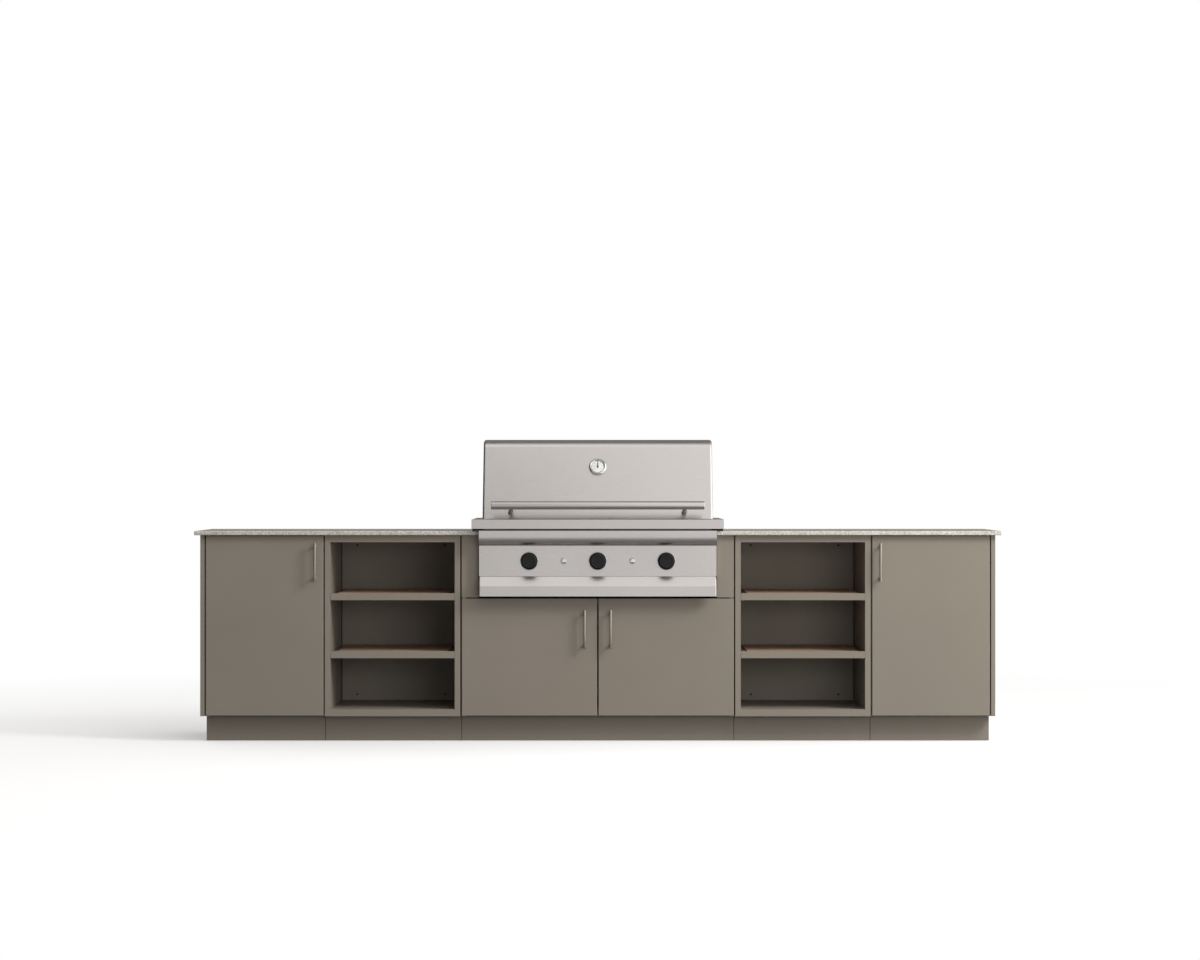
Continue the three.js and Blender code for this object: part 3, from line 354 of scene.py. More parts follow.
def black_plastic():
    """Moulded plastic with a fine spark texture."""
    graph = Graph("black_plastic", Metallic=0.0, IOR=1.5, Specular_IOR_Level=0.26)
    spark = graph.noise(1700, 3.0, rough=0.6)
    wear = graph.noise(60, 3.0)
    tone = graph.ramp(wear, [(0.35, shade(BLACK, 0.82)), (0.7, shade(BLACK, 1.3))])
    graph.link(tone, "Base Color")
    graph.link(graph.ranged(wear, 0.42, 0.55), "Roughness")
    graph.link(graph.bump(spark, 0.02 * MM, 0.7), "Normal")
    return graph.material


def granite():
    """Polished light stone: pale and beige crystals, grey clouds and dark mica flecks."""
    graph = Graph("granite", IOR=1.54, Coat_Weight=0.6, Coat_Roughness=0.12)
    coarse = graph.cell_colours(230)[0]
    fine = graph.cell_colours(520)[1]
    cloud = graph.noise(11, 5.0, rough=0.62)
    pale, beige = screen(236, 232, 223), screen(203, 195, 179)
    grey, mica, rust = screen(158, 156, 150), screen(72, 69, 66), screen(156, 130, 102)
    base = graph.ramp(coarse, [
        (0.0, grey),
        (0.16, beige),
        (0.42, pale),
        (0.72, screen(222, 218, 209)),
        (0.9, rust),
        (0.95, grey),
    ], "CONSTANT")
    speckle = graph.ramp(fine, [
        (0.0, mica),
        (0.09, screen(124, 120, 114)),
        (0.2, beige),
        (0.5, pale),
        (0.84, screen(212, 209, 202)),
    ], "CONSTANT")
    mixed = graph.blend(0.5, base, speckle)
    clouds = graph.ramp(cloud, [(0.34, screen(240, 237, 233)), (0.66, screen(255, 255, 252))])
    graph.link(graph.blend(0.75, mixed, clouds, "MULTIPLY"), "Base Color")
    graph.link(graph.ranged(fine, 0.13, 0.24, 0.0, 1.0), "Roughness")
    pits = graph.noise(900, 3.0)
    graph.link(graph.bump(pits, 0.02 * MM, 0.3), "Normal")
    return graph.material


def deck_board():
    """An oiled hardwood board with its grain along the shelf."""
    graph = Graph("deck_board", IOR=1.45, Coat_Weight=0.08, Coat_Roughness=0.35)
    rings = graph.noise(46, 4.0, (0.05, 1.0, 1.0), 0.6)
    pores = graph.noise(620, 2.0, (0.03, 1.0, 1.0))
    patch = graph.noise(3.5, 2.0)
    tone = graph.ramp(rings, [
        (0.3, shade(BOARD, 0.62)),
        (0.5, BOARD),
        (0.7, shade(BOARD, 1.35)),
    ])
    dark = graph.ramp(pores, [(0.32, shade(BOARD, 0.45)), (0.5, shade(BOARD, 1.1))])
    wood = graph.blend(0.35, tone, dark)
    graph.link(graph.blend(
        0.5,
        wood,
        graph.ramp(patch, [(0.3, screen(214, 208, 202)), (0.7, screen(255, 250, 244))]),
        "MULTIPLY",
    ), "Base Color")
    graph.link(graph.ranged(pores, 0.42, 0.62), "Roughness")
    graph.link(graph.bump(pores, 0.12 * MM, 0.6, graph.bump(rings, 0.2 * MM, 0.3)), "Normal")
    return graph.material


def printed(name, colour, low, high):
    """Enamel, ink or rubber: one colour with a faint unevenness."""
    graph = Graph(name, IOR=1.5)
    film = graph.noise(140, 3.0)
    tone = graph.ramp(film, [(0.35, shade(colour, 0.94)), (0.7, shade(colour, 1.04))])
    graph.link(tone, "Base Color")
    graph.link(graph.ranged(film, low, high), "Roughness")
    graph.link(graph.bump(film, 0.02 * MM, 0.25), "Normal")
    return graph.material


def lens_glass():
    """Thin clear glass: it lets the light through and mirrors more towards its rim."""
    graph = Graph("lens_glass")
    gloss = graph.add("BsdfGlossy", {
        "Roughness": graph.ranged(graph.noise(60, 2.0), 0.02, 0.06),
    })
    clear = graph.add("BsdfTransparent")
    slant = graph.add("LayerWeight", {"Blend": 0.5}).outputs["Facing"]
    share = graph.ranged(graph.combine("POWER", slant, 4.0), 0.04, 0.9, 0.0, 1.0)
    both = mixed_shader(graph.tree, share, clear, gloss)
    output = graph.tree.nodes["Material Output"]
    graph.tree.links.new(both.outputs[0], output.inputs["Surface"])
    graph.tree.nodes.remove(graph.shader)
    return graph.material


PLINTHS = ("left_door", "left_open", "grill_base", "right_open", "right_door")
COAT = powder_coat()
# The plinths' coat carries painted shade at the seams between them
PLINTH_COAT = powder_coat("powder_coat_plinth", [
    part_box(f"{name}_plinth")[0].x for name in PLINTHS[1:]
])
BRUSHED = brushed("brushed_steel", STEEL, 0.25, 0.36)
# Painted shade: a darker copy of the brushed steel, for the pulls and hinge rods
BRUSHED_UP_SHADED = brushed("brushed_steel_upright_shaded", SHADED_PULL_STEEL, 0.22, 0.34, lines=2, cross=0)
# Painted shade: a darker copy of the brushed steel, for the hood handle's posts
BRUSHED_SHADED_POST = brushed("brushed_steel_shaded_posts", SHADED_POST_STEEL, 0.28, 0.4)
POLISHED = polished("polished_steel", CHROME, 0.05, 0.11)
PLAIN = plain_steel()
CAST = cast_iron()
BRASSY = brass()
PLASTIC = black_plastic()
STONE = granite()
WOOD = deck_board()
DIAL_WHITE = printed("dial_enamel", ENAMEL, 0.3, 0.42)
PRINT = printed("dial_ink", INK, 0.4, 0.5)
RUBBER = printed("rubber", screen(34, 34, 35), 0.6, 0.75)
GLASS = lens_glass()


# CAD nodes: a better material, true shading and eased edges

def geometry_group(name):
    """A group for a modifier, and the socket that the geometry comes in by."""
    group = bpy.data.node_groups.new(name, "GeometryNodeTree")
    for way in ("INPUT", "OUTPUT"):
        group.interface.new_socket("Geometry", in_out=way, socket_type="NodeSocketGeometry")
    return group, add_node(group, "NodeGroupInput").outputs["Geometry"]


def edge_shading():
    """Smooth faces with sharp folds, and none of the imported normals."""
    group, start = geometry_group("edge_shading")
    bare = add_node(group, "GeometryNodeRemoveAttribute", {
        "Geometry": start,
        "Name": "custom_normal",
    })
    faces = add_node(group, "GeometryNodeSetShadeSmooth", {
        "Geometry": bare.outputs["Geometry"],
        "Shade Smooth": True,
    }, domain="FACE")
    angle = add_node(group, "GeometryNodeInputMeshEdgeAngle").outputs["Unsigned Angle"]
    sharp = add_node(group, "FunctionNodeCompare", {
        "A": angle,
        "B": SMOOTH_ANGLE,
    }, operation="GREATER_THAN")
    folds = add_node(group, "GeometryNodeSetShadeSmooth", {
        "Geometry": faces.outputs["Geometry"],
        "Selection": sharp.outputs["Result"],
        "Shade Smooth": False,
    }, domain="EDGE")
    add_node(group, "NodeGroupOutput", {"Geometry": folds.outputs["Geometry"]})
    return group


EDGE_SHADING = edge_shading()


def finish_node(name, material, width, segments=2):
    node = NODES[name]
    node.data.materials.clear()
    node.data.materials.append(material)
    weld = node.modifiers.new("weld", "WELD")
    weld.merge_threshold = WELD_REACH
    planes = node.modifiers.new("planes", "DECIMATE")
    planes.decimate_type = "DISSOLVE"
    planes.angle_limit = FLAT_ANGLE
    shading = node.modifiers.new("shading", "NODES")
    shading.node_group = EDGE_SHADING
    ease = node.modifiers.new("ease", "BEVEL")
    ease.width = width
    ease.segments = segments
    ease.limit_method = "ANGLE"
    ease.angle_limit = BEVEL_ANGLE
    ease.harden_normals = True
    ease.use_clamp_overlap = True


SIDE_ROUND = 7.0 * MM
SIDE_SEGMENTS = 5
SIDE_MARGIN = 0.1 * MM

# Folded fronts whose side edges are rounded: ahead of which y, above which z
FOLDED_FRONTS = (
    ("control_panel", -286.0 * MM, 700.0 * MM),
    ("drip_tray", -286.7 * MM, 656.0 * MM),
)


def round_sides(name, front, foot_line):
    """Round the outer side edges of a folded front, ahead of one line and above another."""
    group, start = geometry_group(f"{name}_sides")
    place = add_node(group, "GeometryNodeInputPosition").outputs[0]
    parts = add_node(group, "ShaderNodeSeparateXYZ", {0: place}).outputs
    reach = add_node(group, "ShaderNodeMath", {0: parts["X"]}, operation="ABSOLUTE").outputs[0]
    weight = chained(group, "MULTIPLY", [
        chained(group, way, (value, limit)) for value, way, limit in (
            (reach, "GREATER_THAN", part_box(name)[1].x - SIDE_MARGIN),
            (parts["Y"], "LESS_THAN", front),
            (parts["Z"], "GREATER_THAN", foot_line),
        )
    ])
    store = add_node(group, "GeometryNodeStoreNamedAttribute", {
        "Geometry": start,
        "Name": "bevel_weight_edge",
        "Value": weight,
    }, data_type="FLOAT", domain="EDGE")
    add_node(group, "NodeGroupOutput", {"Geometry": store.outputs["Geometry"]})
    node = NODES[name]
    weights = node.modifiers.new("side_edges", "NODES")
    weights.node_group = group
    turn = node.modifiers.new("side_round", "BEVEL")
    turn.width = SIDE_ROUND
    turn.segments = SIDE_SEGMENTS
    turn.limit_method = "WEIGHT"
    turn.harden_normals = True
    ease = node.modifiers.find("ease")
    node.modifiers.move(node.modifiers.find("side_edges"), ease)
    node.modifiers.move(node.modifiers.find("side_round"), ease + 1)


SIDES = ("left", "right")
COLUMNS = ("left", "centre", "right")
DOORS = ("left_door", "right_door", "grill_left_door", "grill_right_door")

for side in SIDES:
    finish_node(f"{side}_end_panel", COAT, 1.0 * MM)
    finish_node(f"{side}_door_plinth", PLINTH_COAT, 1.0 * MM)
    finish_node(f"{side}_open_plinth", PLINTH_COAT, 1.0 * MM)
    finish_node(f"{side}_door_cabinet", COAT, 0.6 * MM)
    finish_node(f"{side}_open_cabinet", COAT, 0.6 * MM)
    finish_node(f"{side}_countertop", STONE, 4.0 * MM, 4)
    for row in ("lower", "upper"):
        finish_node(f"{side}_{row}_shelf", COAT, 0.7 * MM)
        finish_node(f"{side}_{row}_shelf_deck", WOOD, 1.2 * MM)
for door in DOORS:
    finish_node(door, COAT, 0.8 * MM)
    finish_node(f"{door}_hinge_rod", BRUSHED_UP_SHADED, 0.6 * MM)
for name, material, width in (
    ("grill_base_plinth", PLINTH_COAT, 1.0 * MM),
    ("grill_base_cabinet", COAT, 0.6 * MM),
    ("grill_firebox", PLAIN, 0.7 * MM),
    ("grill_surround", BRUSHED, 0.9 * MM),
    ("control_panel", BRUSHED, 0.7 * MM),
    ("drip_tray", BRUSHED, 0.7 * MM),
    ("gas_manifold", BRASSY, 0.6 * MM),
    ("heat_plate", PLAIN, 0.7 * MM),
    ("hood_hinge_rod", BRUSHED, 0.8 * MM),
    ("thermometer_needle", PLASTIC, 0.15 * MM),
):
    finish_node(name, material, width)
for name, front, foot_line in FOLDED_FRONTS:
    round_sides(name, front, foot_line)
for column in COLUMNS:
    finish_node(f"{column}_valve_stem", BRASSY, 0.5 * MM)
    finish_node(f"{column}_burner", PLAIN, 0.5 * MM)
    finish_node(f"{column}_cooking_grate", CAST, 1.6 * MM)


# Shapes, as lists of vertices and faces

def lathe(profile, sides, relief=None):
    """A form turned about the local Y axis from (radius, y) points."""
    vertices, faces, rings = [], [], []
    for radius, y in profile:
        if not radius:
            rings.append([len(vertices)] * sides)
            vertices.append(Vector((0, y, 0)))
            continue
        ring = []
        for i in range(sides):
            angle = math.tau * i / sides
            reach = radius + (relief(radius, y, angle) if relief else 0)
            ring.append(len(vertices))
            vertices.append(Vector((reach * math.sin(angle), y, reach * math.cos(angle))))
        rings.append(ring)
    for near, far in zip(rings, rings[1:]):
        for i in range(sides):
            j = (i + 1) % sides
            corners = [near[i], near[j], far[j], far[i]]
            face = [c for n, c in enumerate(corners) if c != corners[n - 1]]
            if len(face) > 2:
                faces.append(face)
    return vertices, faces


def in_mm(*points):
    """A lathe's profile from points in millimetres."""
    return [(radius * MM, y * MM) for radius, y in points]


def moved(shape, matrix):
    vertices, faces = shape
    return [matrix @ vertex for vertex in vertices], faces


def merged(shapes):
    vertices, faces = [], []
    for more, rings in shapes:
        start = len(vertices)
        vertices.extend(more)
        faces.extend([start + corner for corner in ring] for ring in rings)
    return vertices, faces


def rod(start, end, radius, sides=24, ease=None):
    """A round rod between two points, its ends eased."""
    start, end = Vector(start), Vector(end)
    length = (end - start).length
    ease = radius * 0.25 if ease is None else ease
    corner = [
        (ease * math.sin(turn), ease * (1 - math.cos(turn)))
        for turn in (0.0, math.pi / 6, math.pi / 3, math.pi / 2)
    ]
    near = [(radius - ease + out, up) for out, up in corner]
    profile = [(0, 0), *near, *[(r, length - y) for r, y in reversed(near)], (0, length)]
    turn = Vector((0, 1, 0)).rotation_difference(end - start).to_matrix().to_4x4()
    return moved(lathe(profile, sides), Matrix.Translation(start) @ turn)


def block(low, high, ease=0.0):
    """A block with its edges eased."""
    shape = bmesh.new()
    bmesh.ops.create_cube(shape, size=1.0)
    low, high = Vector(low), Vector(high)
    for vertex in shape.verts:
        vertex.co = Vector(
            low[axis] if vertex.co[axis] < 0 else high[axis] for axis in range(3)
        )
    if ease:
        bmesh.ops.bevel(
            shape,
            geom=shape.edges[:],
            offset=ease,
            segments=2,
            profile=0.5,
            affect="EDGES",
        )
    shape.verts.index_update()
    vertices = [vertex.co.copy() for vertex in shape.verts]
    faces = [[vertex.index for vertex in face.verts] for face in shape.faces]
    shape.free()
    return vertices, faces


def piece(name, shape, material, body, stands_for=()):
    """A finished piece in place, riding on its body."""
    vertices, faces = shape
    build = bmesh.new()
    made = [build.verts.new(vertex) for vertex in vertices]
    for face in faces:
        build.faces.new([made[corner] for corner in face])
    bmesh.ops.remove_doubles(build, verts=build.verts[:], dist=DOUBLES_REACH)
    bmesh.ops.recalc_face_normals(build, faces=build.faces[:])
    data = bpy.data.meshes.new(name)
    build.to_mesh(data)
    build.free()
    data.materials.append(material)
    data.shade_smooth()
    data.set_sharp_from_angle(angle=SMOOTH_ANGLE)
    made_object = bpy.data.objects.new(name, data)
    bpy.context.scene.collection.objects.link(made_object)
    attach(made_object, body)
    if stands_for:
        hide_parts(*stands_for)


def body_of(node):
    return NODES[node]["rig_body"]


def middle(node):
    low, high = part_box(node)
    return (low + high) / 2


# Knobs, their bezels and the push buttons

KNOB_FLOAT = 6 * MM
KNOB_SIDES = 192
FLUTES = 32
FLUTE_DEPTH = 0.9 * MM
FLUTE_FRONT = -30.0 * MM
FLUTE_BACK = -11.0 * MM
FLUTE_INNER_RADIUS = 29 * MM
MARK_LOW = (-1.3 * MM, -32.3 * MM, 11 * MM)
MARK_HIGH = (1.3 * MM, -30.9 * MM, 26.5 * MM)
MARK_EASE = 0.45 * MM


def knob_relief(radius, y, angle):
    """Flutes round the grip, between its front and the skirt."""
    if not FLUTE_FRONT < y < FLUTE_BACK or radius < FLUTE_INNER_RADIUS:
        return 0.0
    return -FLUTE_DEPTH * (0.5 - 0.5 * math.cos(FLUTES * angle)) ** 2


KNOB_PROFILE = in_mm(
    (0, -31.0), (18, -31.1), (25.5, -31.4), (28, -31.9), (29.4, -32.0), (30.4, -31.4),
    (30.95, -30.4), (31, -29.8), (31, -27), (31, -24), (31, -18), (31, -13), (31, -11.2),
    (31, -10.2), (31.3, -9.2), (32, -8.6), (34, -8.0), (35.1, -7.2), (35.5, -6.0),
    (35.5, -1.0), (35.0, -0.2), (34.2, 0), (4.3, 0), (4.3, -18), (0, -18),
)
BEZEL_PROFILE = in_mm(
    (11, 0), (11, -1.0), (34.6, -1.0), (36.2, -2.2), (37.2, -3.2), (38.4, -3.7),
    (39.6, -3.5), (40.5, -2.7), (41, -1.6), (41, 0),
)
BUTTON_PROFILE = in_mm(
    (0, -5.95), (4, -5.9), (7.2, -5.55), (9.2, -4.9), (10.3, -4.0), (10.8, -3.0),
    (11, -2.0), (11, 2.3), (14, 2.3), (14, 4.3), (4, 4.3), (4, 16), (0, 16),
)
BUTTON_RING_PROFILE = in_mm(
    (11.4, 0), (11.4, -1.7), (12.0, -2.4), (12.8, -2.6), (13.7, -2.2), (14.3, -1.2), (14.4, 0),
)

knob_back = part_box("centre_knob")[1].y
PANEL_Y = knob_back + KNOB_FLOAT
KNOB_Z = middle("centre_knob").z

for column in COLUMNS:
    x = middle(f"{column}_knob").x
    centre = Matrix.Translation((x, knob_back, KNOB_Z))
    mark = block(MARK_LOW, MARK_HIGH, MARK_EASE)
    piece(
        f"{column}_knob_grip",
        moved(merged([lathe(KNOB_PROFILE, KNOB_SIDES, knob_relief), mark]), centre),
        PLASTIC,
        body_of(f"{column}_knob"),
        [f"{column}_knob"],
    )
    piece(
        f"{column}_knob_bezel",
        moved(lathe(BEZEL_PROFILE, sides=96), Matrix.Translation((x, PANEL_Y, KNOB_Z))),
        POLISHED,
        "island",
    )
for side in SIDES:
    node = f"{side}_push_button"
    centre = Matrix.Translation((middle(node).x, PANEL_Y, KNOB_Z))
    piece(
        f"{side}_igniter_button",
        moved(lathe(BUTTON_PROFILE, sides=64), centre),
        POLISHED,
        body_of(node),
        [node],
    )
    piece(
        f"{side}_button_ring",
        moved(lathe(BUTTON_RING_PROFILE, sides=64), centre),
        POLISHED,
        "island",
    )


# A hem along the tray's top edge, just under the control panel

HEM_HEIGHT = 0.8 * MM
HEM_DEPTH = 1.2 * MM
HEM_INSET = 6 * MM
HEM_LAP = 0.2 * MM

tray_low, tray_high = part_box("drip_tray")
piece(
    "drip_tray_hem",
    block(
        (tray_low.x + HEM_INSET, PANEL_Y, tray_high.z - HEM_LAP),
        (tray_high.x - HEM_INSET, PANEL_Y + HEM_DEPTH, tray_high.z + HEM_HEIGHT),
        HEM_LAP,
    ),
    BRUSHED,
    body_of("drip_tray"),
)


# Pull handles: a bar on two posts, each post with a small foot

PULL_RADIUS = 6 * MM
PULL_POST_RADIUS = 4.6 * MM
PULL_POST_INSET = 16 * MM
PULL_FOOT_RADIUS = 7 * MM
PULL_FOOT_HEIGHT = 2.4 * MM
PULL_EASE = 1.2 * MM
PULL_POST_EASE = 0.2 * MM


def foot(radius, height, neck):
    """A small turned collar, from its seat at y = 0 out along -Y."""
    return lathe([
        (0, 0),
        (radius, 0),
        (radius, -height * 0.45),
        (radius - height * 0.25, -height * 0.8),
        (neck + height * 0.3, -height),
        (neck, -height * 1.25),
        (0, -height * 1.25),
    ], sides=40)


for door in DOORS:
    node = f"{door}_handle"
    low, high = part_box(node)
    x, bar_y = (low.x + high.x) / 2, low.y + PULL_RADIUS
    parts = [rod((x, bar_y, low.z), (x, bar_y, high.z), PULL_RADIUS, sides=40, ease=PULL_EASE)]
    for z in (low.z + PULL_POST_INSET, high.z - PULL_POST_INSET):
        parts.append(rod(
            (x, bar_y, z), (x, high.y, z), PULL_POST_RADIUS, sides=32, ease=PULL_POST_EASE,
        ))
        parts.append(moved(
            foot(PULL_FOOT_RADIUS, PULL_FOOT_HEIGHT, PULL_POST_RADIUS),
            Matrix.Translation((x, high.y, z)),
        ))
    piece(f"{door}_pull", merged(parts), BRUSHED_UP_SHADED, body_of(node), [node])


# The hood: a formed shell with rounded side edges

HOOD_THICKNESS = 2 * MM
HOOD_EDGE = 12 * MM
HOOD_SLOPE_RUN = 163 * MM
HOOD_KNEE_RUN = 125 * MM
HOOD_KNEE_DROP = 158 * MM
HOOD_BENDS = (60 * MM, 60 * MM, 60 * MM, 20 * MM)
HOOD_BEND_STEPS = 12
HOOD_EDGE_STEPS = 6

hood_low, hood_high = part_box("hood")
slope = math.atan(HOOD_SLOPE_RUN / (hood_high.z - hood_low.z))
FACE_UP = Vector((0, math.sin(slope), math.cos(slope)))
FACE_FOOT = Vector((0, hood_low.y, hood_low.z))


def hood_outline(inset):
    """The hood's side outline in (y, z), moved inward, from its front foot to its back one."""
    corners = [
        Vector((hood_low.y, hood_low.z)),
        Vector((hood_low.y + HOOD_SLOPE_RUN, hood_high.z)),
        Vector((hood_high.y - HOOD_KNEE_RUN, hood_high.z)),
        Vector((hood_high.y, hood_high.z - HOOD_KNEE_DROP)),
        Vector((hood_high.y, hood_low.z)),
        Vector((hood_high.y - HOOD_BENDS[-1], hood_low.z)),
    ]
    runs = [(b - a).normalized() for a, b in zip(corners, corners[1:])]
    inward = [Vector((run.y, -run.x)) for run in runs]
    first = corners[0] + Vector((inset / math.cos(slope), 0))
    points = [first]
    for i, bend in enumerate(HOOD_BENDS):
        corner, before, after = corners[i + 1], runs[i], runs[i + 1]
        half = math.acos(max(-1.0, min(1.0, before.dot(after)))) / 2
        bisector = (inward[i] + inward[i + 1]).normalized()
        centre = corner + bisector * (bend / math.cos(half))
        start = -inward[i] * (bend - inset)
        turn = -2 * half
        for step in range(HOOD_BEND_STEPS + 1):
            angle = turn * step / HOOD_BEND_STEPS
            cosine, sine = math.cos(angle), math.sin(angle)
            points.append(centre + Vector((
                start.x * cosine - start.y * sine,
                start.x * sine + start.y * cosine,
            )))
    return points


def hood_skin(edge, inset):
    """Outlines across the hood from its left wall to its right one."""
    rows = []
    half = hood_high.x
    for step in range(HOOD_EDGE_STEPS + 1):
        angle = math.pi / 2 * step / HOOD_EDGE_STEPS
        x = half - HOOD_EDGE + edge * math.cos(angle)
        rows.append((x, hood_outline(inset + edge - edge * math.sin(angle))))
    left = [[Vector((-x, y, z)) for y, z in outline] for x, outline in rows]
    right = [[Vector((x, y, z)) for y, z in outline] for x, outline in reversed(rows)]
    return left + right


def hood_shell():
    outer = hood_skin(HOOD_EDGE, 0.0)
    inner = hood_skin(HOOD_EDGE - HOOD_THICKNESS, HOOD_THICKNESS)
    vertices, faces = [], []
    rims = []
    for rows, flip in ((outer, False), (inner, True)):
        start = len(vertices)
        count = len(rows[0])
        for row in rows:
            vertices.extend(row)
        for i in range(len(rows) - 1):
            for j in range(count - 1):
                a = start + i * count + j
                ring = [a, a + 1, a + count + 1, a + count]
                faces.append(ring[::-1] if flip else ring)
        first = [start + j for j in range(count)]
        last = [start + (len(rows) - 1) * count + j for j in range(count)]
        faces.append(first if flip else first[::-1])
        faces.append(last[::-1] if flip else last)
        front = [start + i * count for i in range(len(rows))]
        back = [start + i * count + count - 1 for i in reversed(range(len(rows)))]
        rims.append(front + back)
    for i, (a, b) in enumerate(zip(*rims)):
        c, d = rims[0][i - 1], rims[1][i - 1]
        faces.append([a, c, d, b])
    return vertices, faces


piece("hood_shell", hood_shell(), BRUSHED, body_of("hood"), ["hood"])


# The hood's handle, in the frame of its sloping face

FACE_TURN = Matrix.Rotation(-slope, 4, "X")
HANDLE_RISE = 30 * MM
HANDLE_STANDOFF = 80 * MM
HANDLE_RADIUS = 18.6 * MM
HANDLE_EASE = 2.5 * MM
HANDLE_POST_RADIUS = 9.5 * MM
HANDLE_POST_INSET = 86.5 * MM
HANDLE_POST_GAP = 0.3 * MM
HANDLE_FOOT_RADIUS = 13.5 * MM
HANDLE_FOOT_HEIGHT = 4.5 * MM

handle_base = Matrix.Translation(FACE_FOOT + FACE_UP * HANDLE_RISE) @ FACE_TURN
handle_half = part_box("hood_handle")[1].x
handle_bar = rod(
    (-handle_half, -HANDLE_STANDOFF, 0),
    (handle_half, -HANDLE_STANDOFF, 0),
    HANDLE_RADIUS,
    sides=72,
    ease=HANDLE_EASE,
)
post_parts = []
for x in (HANDLE_POST_INSET - handle_half, handle_half - HANDLE_POST_INSET):
    post_parts.append(rod(
        (x, -HANDLE_STANDOFF, 0),
        (x, -HANDLE_POST_GAP, 0),
        HANDLE_POST_RADIUS,
        sides=48,
        ease=HANDLE_POST_GAP,
    ))
    post_parts.append(moved(
        foot(HANDLE_FOOT_RADIUS, HANDLE_FOOT_HEIGHT, HANDLE_POST_RADIUS),
        Matrix.Translation((x, -HANDLE_POST_GAP, 0)),
    ))
piece(
    "hood_handle_bar",
    moved(handle_bar, handle_base),
    BRUSHED,
    body_of("hood_handle"),
    ["hood_handle"],
)
piece(
    "hood_handle_posts",
    moved(merged(post_parts), handle_base),
    BRUSHED_SHADED_POST,
    body_of("hood_handle"),
    ["hood_handle"],
)


# The thermometer: ring and stem, enamel dial with its marks, pointer and glass

GAUGE_PROFILE = in_mm(
    (0, -5.9), (26.3, -5.9), (26.6, -6.3), (31.0, -10.1), (31.6, -10.6), (32.4, -10.9),
    (33.2, -10.7), (34.0, -10.2), (38.2, -6.9), (38.8, -5.9), (39.0, -4.6), (39.0, -1.2),
    (38.6, -0.5), (38.0, -0.3), (5, -0.3), (5, 45), (0, 45),
)
DIAL_PROFILE = in_mm(
    (0, -6.2), (26.0, -6.2), (26.4, -6.1), (26.4, -5.95), (0, -5.95),
)
LENS_PROFILE = in_mm(
    (0, -10.1), (16, -10.0), (30.4, -9.7), (30.4, -9.3), (16, -9.5), (0, -9.6),
)
DIAL_MARK_Y = -6.28 * MM
DIAL_MARK_DEPTH = 0.1 * MM
DIAL_SWEEP = math.radians(240)
DIAL_STEPS = 30
DIAL_NUMBERS = 7
DIAL_NUMBER_SIZE = 4.8 * MM
DIAL_NUMBER_RADIUS = 16.6 * MM
DIAL_MARK_OUTER = 25.2 * MM
MAJOR_MARK = (21.3 * MM, DIAL_MARK_OUTER, 0.8 * MM)
MINOR_MARK = (23.2 * MM, DIAL_MARK_OUTER, 0.35 * MM)
HUB_PROFILE = in_mm(
    (0, -8.9), (2.0, -8.85), (3.4, -8.6), (4.0, -8.1), (4.1, -7.4), (4.1, -6.9), (0, -6.9),
)
POINTER_OUTLINE = (
    (-2.6, 0), (-1.9, 11), (-0.5, 19), (0.5, 19), (1.9, 11), (2.6, 0), (1.6, -6), (-1.6, -6),
)
POINTER_FACES_Y = (-8.0, -7.4)

needle_centre = Vector(JOINTS["thermometer_needle_turn"]["pos_m"])
gauge_up = (needle_centre - FACE_FOOT).dot(FACE_UP)
gauge_base = Matrix.Translation(FACE_FOOT + FACE_UP * gauge_up) @ FACE_TURN


def dial_mark(angle, inner, outer, width):
    shape = block(
        (-width / 2, DIAL_MARK_Y, inner),
        (width / 2, DIAL_MARK_Y + DIAL_MARK_DEPTH, outer),
    )
    return moved(shape, Matrix.Rotation(angle, 4, "Y"))


def dial_number(text, angle):
    curve = bpy.data.curves.new("dial_number", "FONT")
    curve.body = text
    curve.size = DIAL_NUMBER_SIZE
    curve.align_x = "CENTER"
    curve.align_y = "CENTER"
    curve.extrude = DIAL_MARK_DEPTH / 2
    curve.resolution_u = 3
    writing = bpy.data.objects.new("dial_number", curve)
    data = bpy.data.meshes.new_from_object(writing)
    vertices = [vertex.co.copy() for vertex in data.vertices]
    faces = [list(polygon.vertices) for polygon in data.polygons]
    bpy.data.objects.remove(writing)
    bpy.data.meshes.remove(data)
    bpy.data.curves.remove(curve)
    stand = Matrix.Rotation(math.pi / 2, 4, "X")
    place = Matrix.Translation((
        DIAL_NUMBER_RADIUS * math.sin(angle),
        DIAL_MARK_Y + DIAL_MARK_DEPTH / 2,
        DIAL_NUMBER_RADIUS * math.cos(angle),
    ))
    return moved((vertices, faces), place @ stand)


def pointer_blade():
    """A tapered blade with a short tail, cut from a flat sheet."""
    count = len(POINTER_OUTLINE)
    vertices = [
        Vector((x * MM, y * MM, z * MM)) for y in POINTER_FACES_Y for x, z in POINTER_OUTLINE
    ]
    faces = [list(range(count)), list(range(2 * count - 1, count - 1, -1))]
    for i in range(count):
        j = (i + 1) % count
        faces.append([j, i, i + count, j + count])
    return vertices, faces


marks = []
for step in range(DIAL_STEPS + 1):
    angle = DIAL_SWEEP * (step / DIAL_STEPS - 0.5)
    major = step % (DIAL_STEPS // (DIAL_NUMBERS - 1)) == 0
    marks.append(dial_mark(angle, *(MAJOR_MARK if major else MINOR_MARK)))
for index in range(DIAL_NUMBERS):
    angle = DIAL_SWEEP * (index / (DIAL_NUMBERS - 1) - 0.5)
    marks.append(dial_number(str(100 * (index + 1)), angle))

